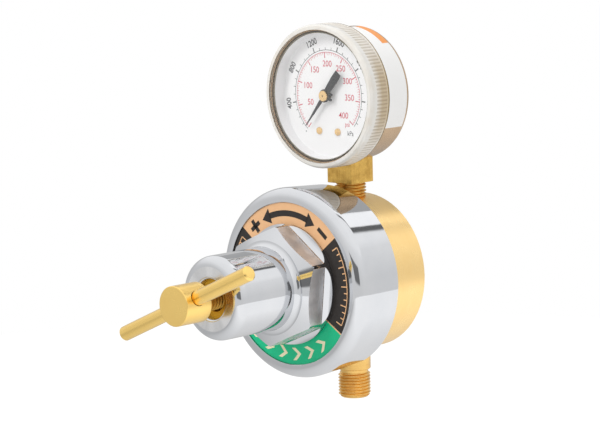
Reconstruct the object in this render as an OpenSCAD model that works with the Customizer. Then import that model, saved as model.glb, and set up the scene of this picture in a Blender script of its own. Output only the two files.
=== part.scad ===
// Single-stage gas pressure regulator with a bottom-connected pressure gauge.
// Millimetres. The origin is the centre of the inlet port's mouth in the body's rear face.
// The regulator's axis is Y: the adjusting screw points to -Y, the front. +Z is up, the gauge's side.
// Stations along that axis are distances in front of the rear face.

/* [Body] */
// Outside diameter of the body
body_d = 68.8; // [67.8:0.2:72]
// Length of the body in sight behind the bonnet
body_len = 25.5; // [24:0.5:34]
// Chamfer round the body's rear edge
body_chamfer = 1.2; // [0.4:0.1:2.5]
// Diameter of the threaded spigot that the bonnet screws onto
spigot_d = 67.6; // [66.4:0.1:68]
// Length of the threaded spigot
spigot_len = 11.5; // [9:0.5:16]
// Diameter of the low pressure chamber under the diaphragm
chamber_d = 54; // [46:0.5:58]
// Depth of the low pressure chamber
chamber_depth = 6; // [5.5:0.1:8]
// Diameter of the high pressure bore that holds the valve
valve_bore_d = 16; // [15:0.1:19]
// Diameter of the inlet port's thread
inlet_d = 11.3; // [10.5:0.1:13]
// Depth of the inlet port
inlet_depth = 11; // [9:0.2:12]
// Diameter of the pocket that holds the inlet filter
filter_pocket_d = 9.2; // [7.5:0.1:10]
// Depth of the filter's pocket
filter_pocket_depth = 3; // [2:0.1:3.6]
// Length of the drilled hole between the filter and the valve bore
transfer_len = 2; // [1:0.1:2.6]
// Diameter of that hole
transfer_d = 6; // [3:0.1:7]

/* [Ports] */
// Distance of the gauge and outlet ports from the rear face
port_station = 10.2; // [9.6:0.1:13]
// Diameter of the threads in the gauge and outlet ports
port_d = 13.4; // [12.6:0.1:14]
// Depth of those threads
port_depth = 12.4; // [10:0.2:13]
// Distance of the two gas passages from the axis
passage_offset = 20; // [17:0.2:21]
// Diameter of the passage from the chamber to the outlet
passage_d = 4.4; // [3:0.1:5]
// Diameter of the sensing passage from the chamber to the gauge
sensing_d = 3; // [2:0.1:4.4]
// Diameter of the flat that seats the outlet fitting's shoulder
spotface_d = 17; // [15.6:0.2:20]
// Depth of that flat under the body's surface
spotface_depth = 1; // [0.95:0.05:1.6]

/* [Valve] */
// Width across flats of the nozzle's hexagon
nozzle_flats = 19; // [18.2:0.1:22]
// Thickness of the nozzle's hexagon
nozzle_hex_t = 2; // [1.5:0.1:2.4]
// Length of the nozzle's thread under the hexagon
nozzle_shank_len = 5.5; // [4:0.1:6.5]
// Diameter of the nozzle's orifice
orifice_d = 4; // [3:0.1:5]
// Outside diameter of the raised lip round the orifice
lip_d = 5.8; // [5.4:0.1:7]
// Height of the lip
lip_h = 0.7; // [0.4:0.05:1.2]
// Thickness of the gasket between nozzle and body
gasket_t = 0.8; // [0.5:0.05:1.2]
// Diameter of the soft valve seat
seat_d = 7.6; // [7:0.1:8.4]
// Thickness of the soft valve seat
seat_t = 1.8; // [1.2:0.05:2]
// Diameter of the poppet's flange
poppet_flange_d = 11.6; // [11:0.1:13]
// Thickness of the poppet's flange
poppet_flange_t = 2; // [1.4:0.05:2.2]
// Diameter of the poppet's tail inside the valve spring
poppet_tail_d = 7; // [5:0.1:7.4]
// Length of the poppet's tail
poppet_tail_len = 2; // [1:0.1:2.4]
// Diameter of the stem that reaches through the orifice
valve_stem_d = 2.4; // [1.8:0.05:2.8]
// Travel of the diaphragm and the valve
valve_travel = 0.8; // [0.4:0.05:0.9]
// Wire diameter of the valve spring
valve_wire_d = 0.8; // [0.6:0.02:0.9]
// Coils of the valve spring
valve_coils = 3; // [2.5:0.5:3.5]

/* [Diaphragm] */
// Thickness of the diaphragm
diaphragm_t = 1.5; // [0.8:0.05:2.5]
// Outside diameter of the diaphragm
diaphragm_d = 66.6; // [64:0.2:67]
// Diameter of the diaphragm plate on the spring's side
plate_d = 44; // [36:0.5:50]
// Thickness of the diaphragm plate
plate_t = 4; // [3:0.1:5]
// Diameter of the plate's boss inside the spring
plate_boss_d = 16; // [14:0.1:16.4]
// Height of that boss
plate_boss_h = 2; // [1:0.1:3]
// Diameter of the pad under the diaphragm
pad_d = 20; // [16:0.2:24]
// Diameter of the stud through diaphragm and plate
stud_d = 5; // [4:0.1:6]
// Gap left between the pad and the nozzle with the valve fully open
pad_stop_gap = 0.3; // [0.2:0.05:0.5]
// Diameter of the pusher under the pad
pusher_d = 3.6; // [3:0.1:5]
// Gap between the pusher and the valve's stem with the spring slack
pusher_gap = 0.1; // [0.05:0.01:0.2]
// Width across flats of the nut on the stud
nut_flats = 9; // [8.5:0.1:11]
// Thickness of that nut
nut_t = 3; // [2.5:0.1:4]
// Thickness of the steel slip ring over the diaphragm's rim
slip_ring_t = 0.8; // [0.5:0.05:1.2]
// Inside diameter of the slip ring
slip_ring_bore = 56.5; // [55:0.5:60]

/* [Bonnet] */
// Diameter of the bonnet's skirt at its open end
skirt_back_d = 80.8; // [79:0.1:82.8]
// Diameter of the skirt at its front
skirt_front_d = 83; // [82:0.1:86]
// Rounding of the skirt's front edge
skirt_round = 5; // [3:0.1:5.4]
// Distance from the slip ring to the front of the rounded rim
bonnet_face_h = 11.9; // [11:0.1:14]
// Depth of the label's recess under the rim
label_recess = 1; // [0.6:0.05:1.4]
// Outside diameter of the label's recess
label_recess_d = 70.8; // [69:0.2:72]
// Diameter of the raised ring inside the label
ring_d = 51.6; // [50:0.1:52.4]
// Height of that ring above the rim
ring_h = 0.8; // [0.2:0.1:2]
// Width across flats of the bonnet's hexagon
hex_flats = 46; // [44:0.5:47]
// Angle of the hexagon's first corner above +X
hex_turn = 24; // [0:1:59]
// Diameter that the hexagon's corners are turned to
hex_corner_d = 52.4; // [52:0.1:53]
// Radius of the cove that the milling cutter leaves under each flat
hex_cove = 3; // [1:0.1:4]
// Height of the hexagon
hex_h = 12.4; // [10:0.2:16]
// Diameter where the hexagon's front cone ends
hex_cone_d = 41; // [40.4:0.2:43]
// Slope of the hexagon's front cone, in degrees
hex_cone_slope = 29.3; // [22:0.1:34]
// Diameter of the neck
neck_d = 36; // [35:0.2:37]
// Length of the neck in front of the hexagon
neck_len = 34.4; // [28:0.2:38]
// Rounding of the neck's front edge
neck_round = 4.5; // [1.5:0.1:6]
// Diameter of the hole in the neck's face
neck_hole_d = 17; // [14:0.2:18]
// Depth of that hole
neck_hole_depth = 2.8; // [1.5:0.1:4]
// Diameter of the bore that holds the adjusting spring
spring_bore_d = 27; // [26:0.1:29]
// Diameter of the hollow over the diaphragm plate
plate_cavity_d = 56; // [54.5:0.5:60]
// Depth of that hollow
plate_cavity_depth = 4.7; // [4.4:0.1:5.2]
// Outside diameter of the screw bushing
bushing_d = 19; // [18:0.1:22]
// Length of the screw bushing
bushing_len = 12; // [8:0.1:13]

/* [Adjusting screw] */
// Diameter of the screw's thread
screw_d = 9.52; // [9:0.01:10]
// Pitch of the thread
screw_pitch = 1.5875; // [1:0.0005:2]
// Turns of the screw from slack to full pressure
screw_turns = 3; // [1:0.25:3]
// Diameter of the screw's boss
boss_d = 17; // [16.6:0.1:20]
// Length of the boss
boss_len = 14; // [12:0.2:20]
// Gap left between the neck and the boss with the screw fully in
boss_stop_gap = 2.44; // [0.2:0.02:4]
// Diameter of the T-bar
bar_d = 6.35; // [5:0.05:7]
// Length of the T-bar
bar_len = 83; // [60:0.5:100]
// Distance of the T-bar from the boss's front face
bar_inset = 7; // [5:0.1:9]
// Angle of the T-bar above +X
bar_turn = 23.8; // [-90:0.1:90]
// Thickness of the spring button
button_t = 4; // [3:0.1:5]
// Gap between the spring button and the bushing with the screw backed off
button_gap = 2; // [0.6:0.1:3]
// Depth of the conical seat in the button
button_seat = 1.5; // [1:0.1:2]
// Wire diameter of the adjusting spring
spring_wire_d = 3.4; // [2.6:0.05:3.6]
// Coils of the adjusting spring
spring_coils = 6.5; // [5:0.5:8]

/* [Outlet] */
// Diameter of the outlet's thread
outlet_d = 14.28; // [13.4:0.02:15.2]
// Length of the outlet's thread in sight
outlet_thread_len = 11.2; // [9:0.1:16]
// Diameter of the shoulder over the thread
shoulder_d = 14.7; // [14.6:0.05:15.4]
// Length of the shoulder
shoulder_len = 10.2; // [7:0.1:14]
// Depth of the groove between shoulder and thread
groove_depth = 0.6; // [0.2:0.05:1]
// Width of that groove
groove_w = 1.3; // [0.6:0.1:2]
// Chamfer at the thread's end
outlet_chamfer = 1.2; // [0.6:0.1:1.6]
// Diameter of the outlet's bore
outlet_bore_d = 5.4; // [4:0.1:6]
// Diameter of the conical seat at the outlet's mouth
outlet_seat_d = 9.2; // [8:0.1:10]
// Depth of that seat
outlet_seat_depth = 2.6; // [1.5:0.1:4]

/* [Gauge] */
// Width of the square shank under the gauge
square_w = 14.29; // [13.6:0.01:15]
// Pipe thread in sight between the body and the square shank
stem_sight = 5.6; // [4.6:0.1:9]
// Height of the gauge's axis over the bottom of the square shank
shank_to_axis = 39.2; // [36:0.1:44]
// Outside diameter of the case
case_d = 58.4; // [57.4:0.1:59]
// Sheet thickness of the case
case_t = 0.8; // [0.6:0.05:1]
// Depth of the case
case_depth = 26.2; // [25.6:0.1:28]
// Rounding of the case's back edge
case_round = 2.5; // [1.5:0.1:4]
// Length of the case screws inside the socket
case_screw_grip = 3; // [2:0.1:4]
// Gap between the sticker and the case's rounded edge
sticker_back_gap = 0.2; // [0.1:0.1:2]
// Gap between the sticker and the lens
sticker_front_gap = 1.1; // [0.5:0.1:4]
// Thickness of the lens's skirt, measured over the ribs
lens_wall = 2.15; // [1.8:0.05:3]
// Width of the bevel round the lens's front face, across
lens_bevel = 0.9; // [0.5:0.1:1.6]
// Height of that bevel, along the gauge's axis
lens_bevel_h = 1.2; // [0.6:0.1:1.8]
// Length of the lens's skirt that covers the case
lens_cover = 10; // [9:0.1:11.5]
// Thickness of the lens's front
lens_t = 2; // [1.4:0.1:2.4]
// Ribs round the lens
rib_count = 120; // [60:1:160]
// Length of the ribs
rib_len = 6.4; // [4:0.1:8]
// Depth of the grooves between the ribs
rib_depth = 0.35; // [0.2:0.05:0.5]
// Gap between the dial's edge and the case
dial_edge_gap = 0.4; // [0.3:0.05:0.8]
// Thickness of the dial
dial_t = 0.5; // [0.3:0.05:0.8]
// Depth of the dial's face under the case's rim
dial_inset = 6; // [5.4:0.1:6.6]
// Gap between the dial's turned-up edge and the lens
dial_wall_gap = 0.5; // [0.3:0.1:2]
// Length of the pointer's thin end
pointer_len = 18.1; // [16:0.1:21]
// Length of the pointer's broad tail
pointer_tail = 13.4; // [10:0.1:15]
// Angle of the pointer at zero, above +X
pointer_zero = 230; // [220:1:240]
// Turn of the pointer over the whole scale
scale_sweep = 270; // [240:1:280]
// Thickness of the pointer
pointer_t = 0.4; // [0.3:0.05:0.6]
// Diameter of the pointer's hub
hub_d = 4.8; // [4:0.1:6]
// Gap between the dial and the hub's sleeve
hub_gap = 1; // [0.6:0.1:1.4]
// Distance of the dial screws from the upright middle line
dial_screw_x = 5.6; // [5.4:0.1:5.7]
// Distance of the dial screws under the gauge's axis
dial_screw_drop = 16; // [15.4:0.1:17]
// Diameter of the dial screws' heads
dial_screw_d = 3.2; // [2.8:0.1:3.8]

/* [Gauge movement] */
// Middle radius of the Bourdon tube's bend
tube_bend_r = 21.5; // [21:0.1:22.5]
// Radial thickness of the flattened tube
tube_t = 3; // [2:0.1:3.4]
// Width of the flattened tube
tube_w = 7; // [6:0.1:7.4]
// Wall of the tube
tube_wall = 0.5; // [0.3:0.05:0.7]
// Angle of the tube's free end, under +X
tube_end_drop = 22; // [18:0.5:26]
// Length of the tip that closes the tube's free end, along the bend
tip_len = 5.25; // [4.6:0.05:6]
// Gear module of the sector and the pinion
gear_module = 0.25; // [0.24:0.005:0.26]
// Teeth on the pinion
pinion_teeth = 10; // [10:1:12]
// Teeth of the whole wheel that the sector is cut from
sector_wheel_teeth = 100; // [96:2:104]
// Play between the teeth
gear_play = 0.06; // [0.04:0.01:0.1]
// Angle of the sector's pivot, under +X
pivot_drop = 40; // [36:1:44]
// Thickness of the sector's sheet
sector_t = 0.8; // [0.5:0.05:1.2]
// Length of the pinion's teeth
pinion_t = 2; // [1.4:0.1:2.4]
// Length of the sector's tail
tail_len = 5.5; // [5:0.1:6]
// Thickness of the movement's plates
movement_plate_t = 0.8; // [0.6:0.05:1]
// Clear space between the movement's plates
movement_gap = 5.8; // [5.4:0.1:6.2]
// Depth of the socket's block inside the case
block_depth = 9.6; // [9:0.1:10]
// Turns of the hairspring
hair_turns = 4; // [3:0.5:5]
// Thickness of the hairspring's ribbon
hair_t = 0.2; // [0.15:0.01:0.3]

/* [Fits] */
// Radial clearance of threads and turned parts that are fixed together
fixed_fit = 0.05; // [0.02:0.01:0.1]
// Radial clearance of parts that turn or slide in each other
running_fit = 0.04; // [0.02:0.01:0.08]
// Gap between curved faces that only pass each other
free_gap = 0.3; // [0.25:0.01:0.4]

/* [Hidden] */

$fn = 96;
cut = 1; // how far a cutting tool runs past a face
edge_break = 0.4; // chamfer on turned edges
thread_lead = 0.6; // chamfer where a thread starts in its port
port_end_gap = 0.5; // space between a fitting's end and the port's floor

brass = "goldenrod";
chrome = "lightsteelblue";
steel = "silver";

// Stations of the body
spigot_top = body_len + spigot_len;
chamber_floor = spigot_top - chamber_depth;
filter_top = inlet_depth + filter_pocket_depth;
valve_bore_floor = filter_top + transfer_len;
body_r = body_d / 2;
spigot_r = spigot_d / 2;
spotface_z = body_r - spotface_depth;
port_floor = body_r - port_depth;
port_part_end = port_floor + port_end_gap; // the inner end of both fittings

// Stations of the valve
nozzle_seat = chamber_floor + gasket_t;
nozzle_top = nozzle_seat + nozzle_hex_t;
nozzle_shank_end = chamber_floor - nozzle_shank_len;
lip_end = nozzle_shank_end - lip_h;
seat_gap = 0.02;
seat_top = lip_end - seat_gap;
flange_top = seat_top - seat_t;
flange_end = flange_top - poppet_flange_t;
tail_end = flange_end - poppet_tail_len;
valve_spring_r = (poppet_tail_d + valve_wire_d) / 2 + free_gap;
valve_stem_top = nozzle_top + 0.1;

// Stations of the diaphragm
diaphragm_top = spigot_top + diaphragm_t;
plate_top = diaphragm_top + plate_t;
plate_boss_top = plate_top + plate_boss_h;
nut_top = plate_boss_top + nut_t;
stud_top = nut_top + 0.8;
pusher_end = valve_stem_top + pusher_gap;
pad_end = nozzle_top + valve_travel + pad_stop_gap;
slip_ring_top = diaphragm_top + slip_ring_t;

// Stations of the bonnet
rim_top = slip_ring_top + bonnet_face_h;
label_floor = rim_top - label_recess;
label_t = 0.3;
ring_top = rim_top + ring_h;
hex_top = ring_top + hex_h;
neck_top = hex_top + neck_len;
bushing_top = neck_top - neck_hole_depth;
bushing_bottom = bushing_top - bushing_len;
cavity_top = slip_ring_top + plate_cavity_depth;
skirt_bore_r = spigot_r + fixed_fit;
neck_fillet = (hex_cone_d - neck_d) / 2;
hex_corner_r = hex_corner_d / 2;

// Stations of the adjusting screw
screw_travel = screw_pitch * screw_turns;
boss_back = neck_top + screw_travel + boss_stop_gap;
boss_front = boss_back + boss_len;
bar_station = boss_front - bar_inset;
button_top = bushing_bottom - button_gap;
button_bottom = button_top - button_t;
screw_tip = button_top - button_seat;
spring_r = (plate_boss_d + spring_wire_d) / 2 + free_gap;
button_r = spring_bore_d / 2 - free_gap;

// Heights of the outlet, under the axis
shoulder_end = spotface_z + shoulder_len;
thread_start = shoulder_end + groove_w;
outlet_end = shoulder_end + outlet_thread_len + groove_w;

// Gauge: heights over the axis, and stations from the rear face
shank_bottom = body_r + stem_sight;
gauge_z = shank_bottom + shank_to_axis;
block_back = port_station - square_w / 2;
case_back = block_back - case_t;
case_rim = case_back + case_depth;
case_r = case_d / 2;
case_inner_r = case_r - case_t;
block_front = block_back + block_depth;
dial_top = case_rim - dial_inset;
dial_back = dial_top - dial_t;
lens_front = case_rim + lens_t;
lens_back = case_rim - lens_cover;
lens_r = case_r + fixed_fit + lens_wall;
dial_r = case_inner_r - dial_edge_gap;
dial_wall_top = case_rim - dial_wall_gap;
pointer_station = dial_top + hub_gap + 1.4;
pointer_top = pointer_station + pointer_t;
hub_top = pointer_top + 1;
hub_sleeve_r = 1.25;

// Gauge movement
tube_mid = block_back + block_depth / 2;
tube_front = tube_mid + tube_w / 2;
back_plate_top = block_front + movement_plate_t;
front_plate_back = back_plate_top + movement_gap;
front_plate_top = front_plate_back + movement_plate_t;
gear_station = back_plate_top + 2.2;
pinion_station = gear_station - (pinion_t - sector_t) / 2;
link_t = 0.7;
link_station = gear_station - free_gap - link_t;
hair_station = pinion_station + pinion_t + 0.6;
hair_w = 0.8;
pinion_pitch_r = gear_module * pinion_teeth / 2;
sector_pitch_r = gear_module * sector_wheel_teeth / 2;
pivot_r = pinion_pitch_r + sector_pitch_r;
pivot = pivot_r * [cos(pivot_drop), -sin(pivot_drop)];
mesh_angle = 180 - pivot_drop;
sector_swing = scale_sweep * pinion_teeth / sector_wheel_teeth;
sector_step = 360 / sector_wheel_teeth;
sector_teeth = ceil(sector_swing / sector_step) + 4;
tail_angle = -75;
tail_pin = pivot + tail_len * [cos(tail_angle), sin(tail_angle)];
tip_sweep = tip_len / tube_bend_r * 180 / PI;
tip_angle = -tube_end_drop - 0.68 * tip_sweep;
tip_pin = tube_bend_r * [cos(tip_angle), sin(tip_angle)];
pin_r = 0.5;
eye_r = 1.2;
arbor_r = 0.6;
pivot_arbor_r = 0.8;
pillar_r = 1.2;
pillars = [[-3.5, -5.5], [13.5, -1.5]];
collet_r = 1.4;
movement_screw_x = 2.2;
movement_screw_r = 0.8;
movement_screw_grip = 3.8;
dial_screw_r = 0.6;
dial_screw_grip = 4;
case_screw_r = 1;
slot_w = 0.5; // screwdriver slots
case_screw_x = 4;
case_screw_drop = 17;
case_screw_head_r = 2;
case_screw_head_t = 0.9;
post_r = 1.4;
foot_half_w = dial_screw_x - post_r - 0.4;

// ---------------------------------------------------------------- helpers

// Turns local Z to the front: a height becomes a station, local Y becomes up.
module front(station = 0) {
    translate([0, -station, 0]) rotate([90, 0, 0]) children();
}

// The same, about the gauge's axis.
module gauge(station = 0) {
    translate([0, -station, gauge_z]) rotate([90, 0, 0]) children();
}

// A disc between two stations.
module disc(r, from, to) {
    translate([0, 0, from]) cylinder(r = r, h = to - from);
}

// A turned piece: its half section as points of radius and station.
module turned(points) {
    rotate_extrude() polygon(points);
}

module ring(r_out, r_in, from, to) {
    difference() {
        disc(r_out, from, to);
        disc(r_in, from - cut, to + cut);
    }
}

// A hexagonal prism with its first corner at an angle above local X.
module hex_disc(flats, from, to, turn = 0) {
    translate([0, 0, from]) rotate(turn) cylinder(r = flats / 2 / cos(30), h = to - from, $fn = 6);
}

// A flat strap with round ends, between two points.
module strap(a, b, half_w) {
    run = norm(b - a);
    translate(a) rotate(atan2(b[1] - a[1], b[0] - a[0])) {
        translate([0, -half_w]) square([run, 2 * half_w]);
        circle(r = half_w);
        translate([run, 0]) circle(r = half_w);
    }
}

// Height of a coil spring's wire after some turns: one close turn at each end, open turns between.
function coil_rise(turn, coils, climb, close) =
    let (open = (climb - 2 * close) / (coils - 2))
    turn < 1 ? close * turn
    : turn > coils - 1 ? climb - close * (coils - turn)
    : close + open * (turn - 1);

// A coil spring of round wire that stands on local Z, between two stations.
module coil_spring(mean_r, wire_d, from, to, coils, sides, steps_per_coil) {
    steps = coils * steps_per_coil;
    wire_r = wire_d / 2;
    climb = to - from - wire_d;
    close = min(wire_d + 0.4, climb / coils);
    rings = [for (i = [0:steps])
        let (turn = i / steps_per_coil, a = 360 * turn,
             z = from + wire_r + coil_rise(turn, coils, climb, close))
        [for (k = [0:sides - 1])
            let (t = 360 * k / sides, r = mean_r + wire_r * cos(t))
            [r * cos(a), r * sin(a), z + wire_r * sin(t)]]];
    points = [for (r = rings) each r];
    walls = [for (i = [0:steps - 1], k = [0:sides - 1])
        let (n = (k + 1) % sides, a = i * sides, b = a + sides)
        each [[a + k, b + n, a + n], [a + k, b + k, b + n]]];
    caps = [[for (k = [0:sides - 1]) k], [for (k = [sides - 1:-1:0]) steps * sides + k]];
    polyhedron(points, concat(walls, caps));
}

// Half the angle that a gear tooth spans at radius r, for an involute flank of 20 degrees.
function involute_turn(r, base_r) =
    r <= base_r ? 0 : let (t = acos(base_r / r)) tan(t) * 180 / PI - t;
function tooth_half_angle(r, pitch_r, teeth, play) =
    let (base_r = pitch_r * cos(20))
    90 / teeth - play / 4 / pitch_r * 180 / PI + involute_turn(pitch_r, base_r) - involute_turn(r, base_r);

// One tooth's outline, centred on the angle at, from its root up to its tip and down again.
function tooth_points(pitch_r, teeth, addendum, dedendum, play, at) =
    let (radii = [for (k = [0:4]) pitch_r - dedendum + (addendum + dedendum) * k / 4])
    concat([for (r = radii) r * [cos(at - tooth_half_angle(r, pitch_r, teeth, play)),
                                 sin(at - tooth_half_angle(r, pitch_r, teeth, play))]],
           [for (k = [4:-1:0]) let (r = radii[k]) r * [cos(at + tooth_half_angle(r, pitch_r, teeth, play)),
                                                       sin(at + tooth_half_angle(r, pitch_r, teeth, play))]]);

// ---------------------------------------------------------------- regulator

// A threaded port in the body's side, with the drilling under it that meets the passage.
module port_bore(side, drill_d) {
    drill_floor = passage_offset - drill_d / 2 - 0.6;
    mirror([0, 0, side < 0 ? 1 : 0]) translate([0, -port_station, 0]) {
        translate([0, 0, port_floor]) cylinder(d = port_d, h = port_depth + cut);
        translate([0, 0, drill_floor]) cylinder(d = drill_d + 0.6, h = port_floor + cut - drill_floor);
    }
}

module body() {
    color(brass) difference() {
        front() difference() {
            turned([
                [0, 0], [body_r - body_chamfer, 0], [body_r, body_chamfer], [body_r, body_len],
                [spigot_r, body_len], [spigot_r, spigot_top], [0, spigot_top]]);
            disc(inlet_d / 2, -cut, inlet_depth);
            disc(filter_pocket_d / 2, inlet_depth - cut, filter_top);
            disc(transfer_d / 2, filter_top - cut, valve_bore_floor + cut);
            disc(valve_bore_d / 2, valve_bore_floor, spigot_top);
            disc(chamber_d / 2, chamber_floor, spigot_top + cut);
            translate([0, passage_offset, 0])
                disc(sensing_d / 2, port_station, chamber_floor + cut);
            translate([0, -passage_offset, 0])
                disc(passage_d / 2, port_station, chamber_floor + cut);
        }
        port_bore(1, sensing_d);
        port_bore(-1, passage_d);
        translate([0, -port_station, -body_r - cut]) cylinder(d = spotface_d, h = spotface_depth + cut);
    }
}

module inlet_filter() {
    color("tan") front()
        disc(filter_pocket_d / 2 - fixed_fit, inlet_depth + fixed_fit, filter_top);
}

module nozzle() {
    color(brass) front() difference() {
        union() {
            hex_disc(nozzle_flats, nozzle_seat, nozzle_top);
            disc(valve_bore_d / 2 - fixed_fit, nozzle_shank_end, nozzle_seat + cut);
            disc(lip_d / 2, lip_end, nozzle_shank_end + cut);
        }
        disc(orifice_d / 2, lip_end - cut, nozzle_top + cut);
    }
}

module nozzle_gasket() {
    color("saddlebrown") front() ring(nozzle_flats / 2, valve_bore_d / 2, chamber_floor, nozzle_seat);
}

module valve_seat() {
    color("ivory") front() ring(seat_d / 2, valve_stem_d / 2 + fixed_fit, flange_top, seat_top);
}

module valve_poppet() {
    color(brass) front() turned([
        [0, tail_end], [poppet_tail_d / 2, tail_end], [poppet_tail_d / 2, flange_end],
        [poppet_flange_d / 2, flange_end], [poppet_flange_d / 2, flange_top], [valve_stem_d / 2, flange_top],
        [valve_stem_d / 2, valve_stem_top], [0, valve_stem_top]]);
}

module valve_spring() {
    color(steel) front()
        coil_spring(valve_spring_r, valve_wire_d, valve_bore_floor, flange_end, valve_coils, 6, 16);
}

module diaphragm() {
    color("dimgray") front() ring(diaphragm_d / 2, stud_d / 2 + fixed_fit, spigot_top, diaphragm_top);
}

module diaphragm_stud() {
    color(brass) front() turned([
        [0, pusher_end], [pusher_d / 2, pusher_end], [pusher_d / 2, pad_end], [pad_d / 2, pad_end],
        [pad_d / 2, spigot_top], [stud_d / 2, spigot_top], [stud_d / 2, stud_top], [0, stud_top]]);
}

module diaphragm_plate() {
    hole_r = stud_d / 2 + fixed_fit;
    color("lightgray") front() turned([
        [hole_r, diaphragm_top], [plate_d / 2, diaphragm_top], [plate_d / 2, plate_top],
        [plate_boss_d / 2, plate_top], [plate_boss_d / 2, plate_boss_top], [hole_r, plate_boss_top]]);
}

module diaphragm_nut() {
    color(steel) front() difference() {
        hex_disc(nut_flats, plate_boss_top, nut_top);
        disc(stud_d / 2 + fixed_fit, plate_boss_top - cut, nut_top + cut);
    }
}

module slip_ring() {
    color(steel) front() ring(diaphragm_d / 2, slip_ring_bore / 2, diaphragm_top, slip_ring_top);
}

// Half of the bonnet's section, skirt to raised ring: radius across, station up.
module bonnet_section() {
    rim_r = skirt_front_d / 2 - skirt_round;
    difference() {
        union() {
            polygon([[0, body_len], [skirt_back_d / 2, body_len],
                     [skirt_front_d / 2, rim_top - skirt_round], [rim_r, rim_top - skirt_round],
                     [rim_r, rim_top], [0, rim_top]]);
            translate([rim_r, rim_top - skirt_round]) circle(r = skirt_round);
        }
        translate([ring_d / 2, label_floor])
            square([(label_recess_d - ring_d) / 2, label_recess + cut]);
    }
    square_top = ring_top - rim_top;
    translate([0, rim_top - cut]) square([ring_d / 2, square_top + cut]);
}

// Half of the neck's section, with its root fillet and its rounded front edge.
module neck_section() {
    neck_r = neck_d / 2;
    difference() {
        union() {
            translate([0, hex_top - cut]) square([neck_r, neck_len - neck_round + cut]);
            translate([0, neck_top - neck_round - cut]) square([neck_r - neck_round, neck_round + cut]);
            translate([neck_r - neck_round, neck_top - neck_round]) circle(r = neck_round);
            translate([0, hex_top - cut]) square([neck_r + neck_fillet, neck_fillet + cut]);
        }
        translate([neck_r + neck_fillet, hex_top + neck_fillet]) circle(r = neck_fillet);
    }
}

// Mills one flat of the hexagon at an angle above +X, with a cove at its foot.
module flat_cutter(angle) {
    flat_r = hex_flats / 2;
    reach = hex_corner_r + cut - flat_r;
    foot = ring_top - 0.05;
    rotate(angle) rotate([90, 0, 0]) linear_extrude(hex_flats, center = true) {
        translate([flat_r, foot + hex_cove]) square([reach, hex_h]);
        translate([flat_r + hex_cove, foot]) square([reach, hex_h]);
        translate([flat_r + hex_cove, foot + hex_cove]) circle(r = hex_cove);
    }
}

module bonnet() {
    cone_h = (hex_corner_r - hex_cone_d / 2) * tan(hex_cone_slope);
    color(chrome) front() difference() {
        union() {
            rotate_extrude() bonnet_section();
            rotate_extrude() neck_section();
            difference() {
                union() {
                    disc(hex_corner_r, ring_top, hex_top - cone_h);
                    translate([0, 0, hex_top - cone_h])
                        cylinder(r1 = hex_corner_r, r2 = hex_cone_d / 2, h = cone_h);
                }
                for (k = [0:5]) flat_cutter(hex_turn + 30 + 60 * k);
            }
        }
        disc(skirt_bore_r, body_len - cut, slip_ring_top);
        disc(plate_cavity_d / 2, slip_ring_top - cut, cavity_top);
        disc(spring_bore_d / 2, cavity_top - cut, bushing_bottom);
        disc(bushing_d / 2 + fixed_fit, bushing_bottom - cut, bushing_top);
        disc(neck_hole_d / 2, bushing_top - cut, neck_top + cut);
    }
}

module bonnet_label() {
    side_gap = 0.1;
    color("seagreen") front()
        ring(label_recess_d / 2 - side_gap, ring_d / 2 + side_gap, label_floor, label_floor + label_t);
}

module screw_bushing() {
    color(brass) front()
        ring(bushing_d / 2, screw_d / 2 + running_fit, bushing_bottom, bushing_top);
}

module adjusting_spring() {
    color(steel) front()
        coil_spring(spring_r, spring_wire_d, plate_top, button_bottom, spring_coils, 8, 20);
}

module spring_button() {
    seat_r = screw_d / 4 + running_fit;
    color(steel) front() difference() {
        disc(button_r, button_bottom, button_top);
        translate([0, 0, screw_tip])
            cylinder(r1 = seat_r, r2 = seat_r + button_seat + cut, h = button_seat + cut);
    }
}

module adjusting_screw() {
    screw_r = screw_d / 2;
    boss_r = boss_d / 2;
    color(brass) difference() {
        front() turned([
            [0, screw_tip], [screw_r / 2, screw_tip], [screw_r, screw_tip + screw_r / 2], [screw_r, boss_back],
            [boss_r - edge_break, boss_back], [boss_r, boss_back + edge_break],
            [boss_r, boss_front - edge_break], [boss_r - edge_break, boss_front], [0, boss_front]]);
        bar_place() translate([0, 0, -boss_d]) cylinder(d = bar_d + 2 * fixed_fit, h = 2 * boss_d);
    }
}

// The T-bar's own frame: local Z runs along the bar.
module bar_place() {
    translate([0, -bar_station, 0]) rotate([0, 90 - bar_turn, 0]) children();
}

module t_bar() {
    end_chamfer = 0.8;
    half = bar_len / 2;
    color(brass) bar_place() turned([
        [0, -half], [bar_d / 2 - end_chamfer, -half], [bar_d / 2, -half + end_chamfer],
        [bar_d / 2, half - end_chamfer], [bar_d / 2 - end_chamfer, half], [0, half]]);
}

module outlet_fitting() {
    port_r = port_d / 2 - fixed_fit;
    thread_r = outlet_d / 2;
    groove_r = thread_r - groove_depth;
    color(brass) translate([0, -port_station, 0]) mirror([0, 0, 1]) difference() {
        turned([
            [0, port_part_end], [port_r - thread_lead, port_part_end], [port_r, port_part_end + thread_lead],
            [port_r, spotface_z], [shoulder_d / 2, spotface_z], [shoulder_d / 2, shoulder_end - edge_break],
            [shoulder_d / 2 - edge_break, shoulder_end], [groove_r, shoulder_end], [groove_r, thread_start],
            [thread_r, thread_start], [thread_r, outlet_end - outlet_chamfer],
            [thread_r - outlet_chamfer, outlet_end], [0, outlet_end]]);
        translate([0, 0, port_floor]) cylinder(d = outlet_bore_d, h = outlet_end);
        translate([0, 0, outlet_end - outlet_seat_depth])
            cylinder(d1 = outlet_bore_d, d2 = outlet_seat_d, h = outlet_seat_depth);
    }
}

// ---------------------------------------------------------------- gauge

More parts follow.
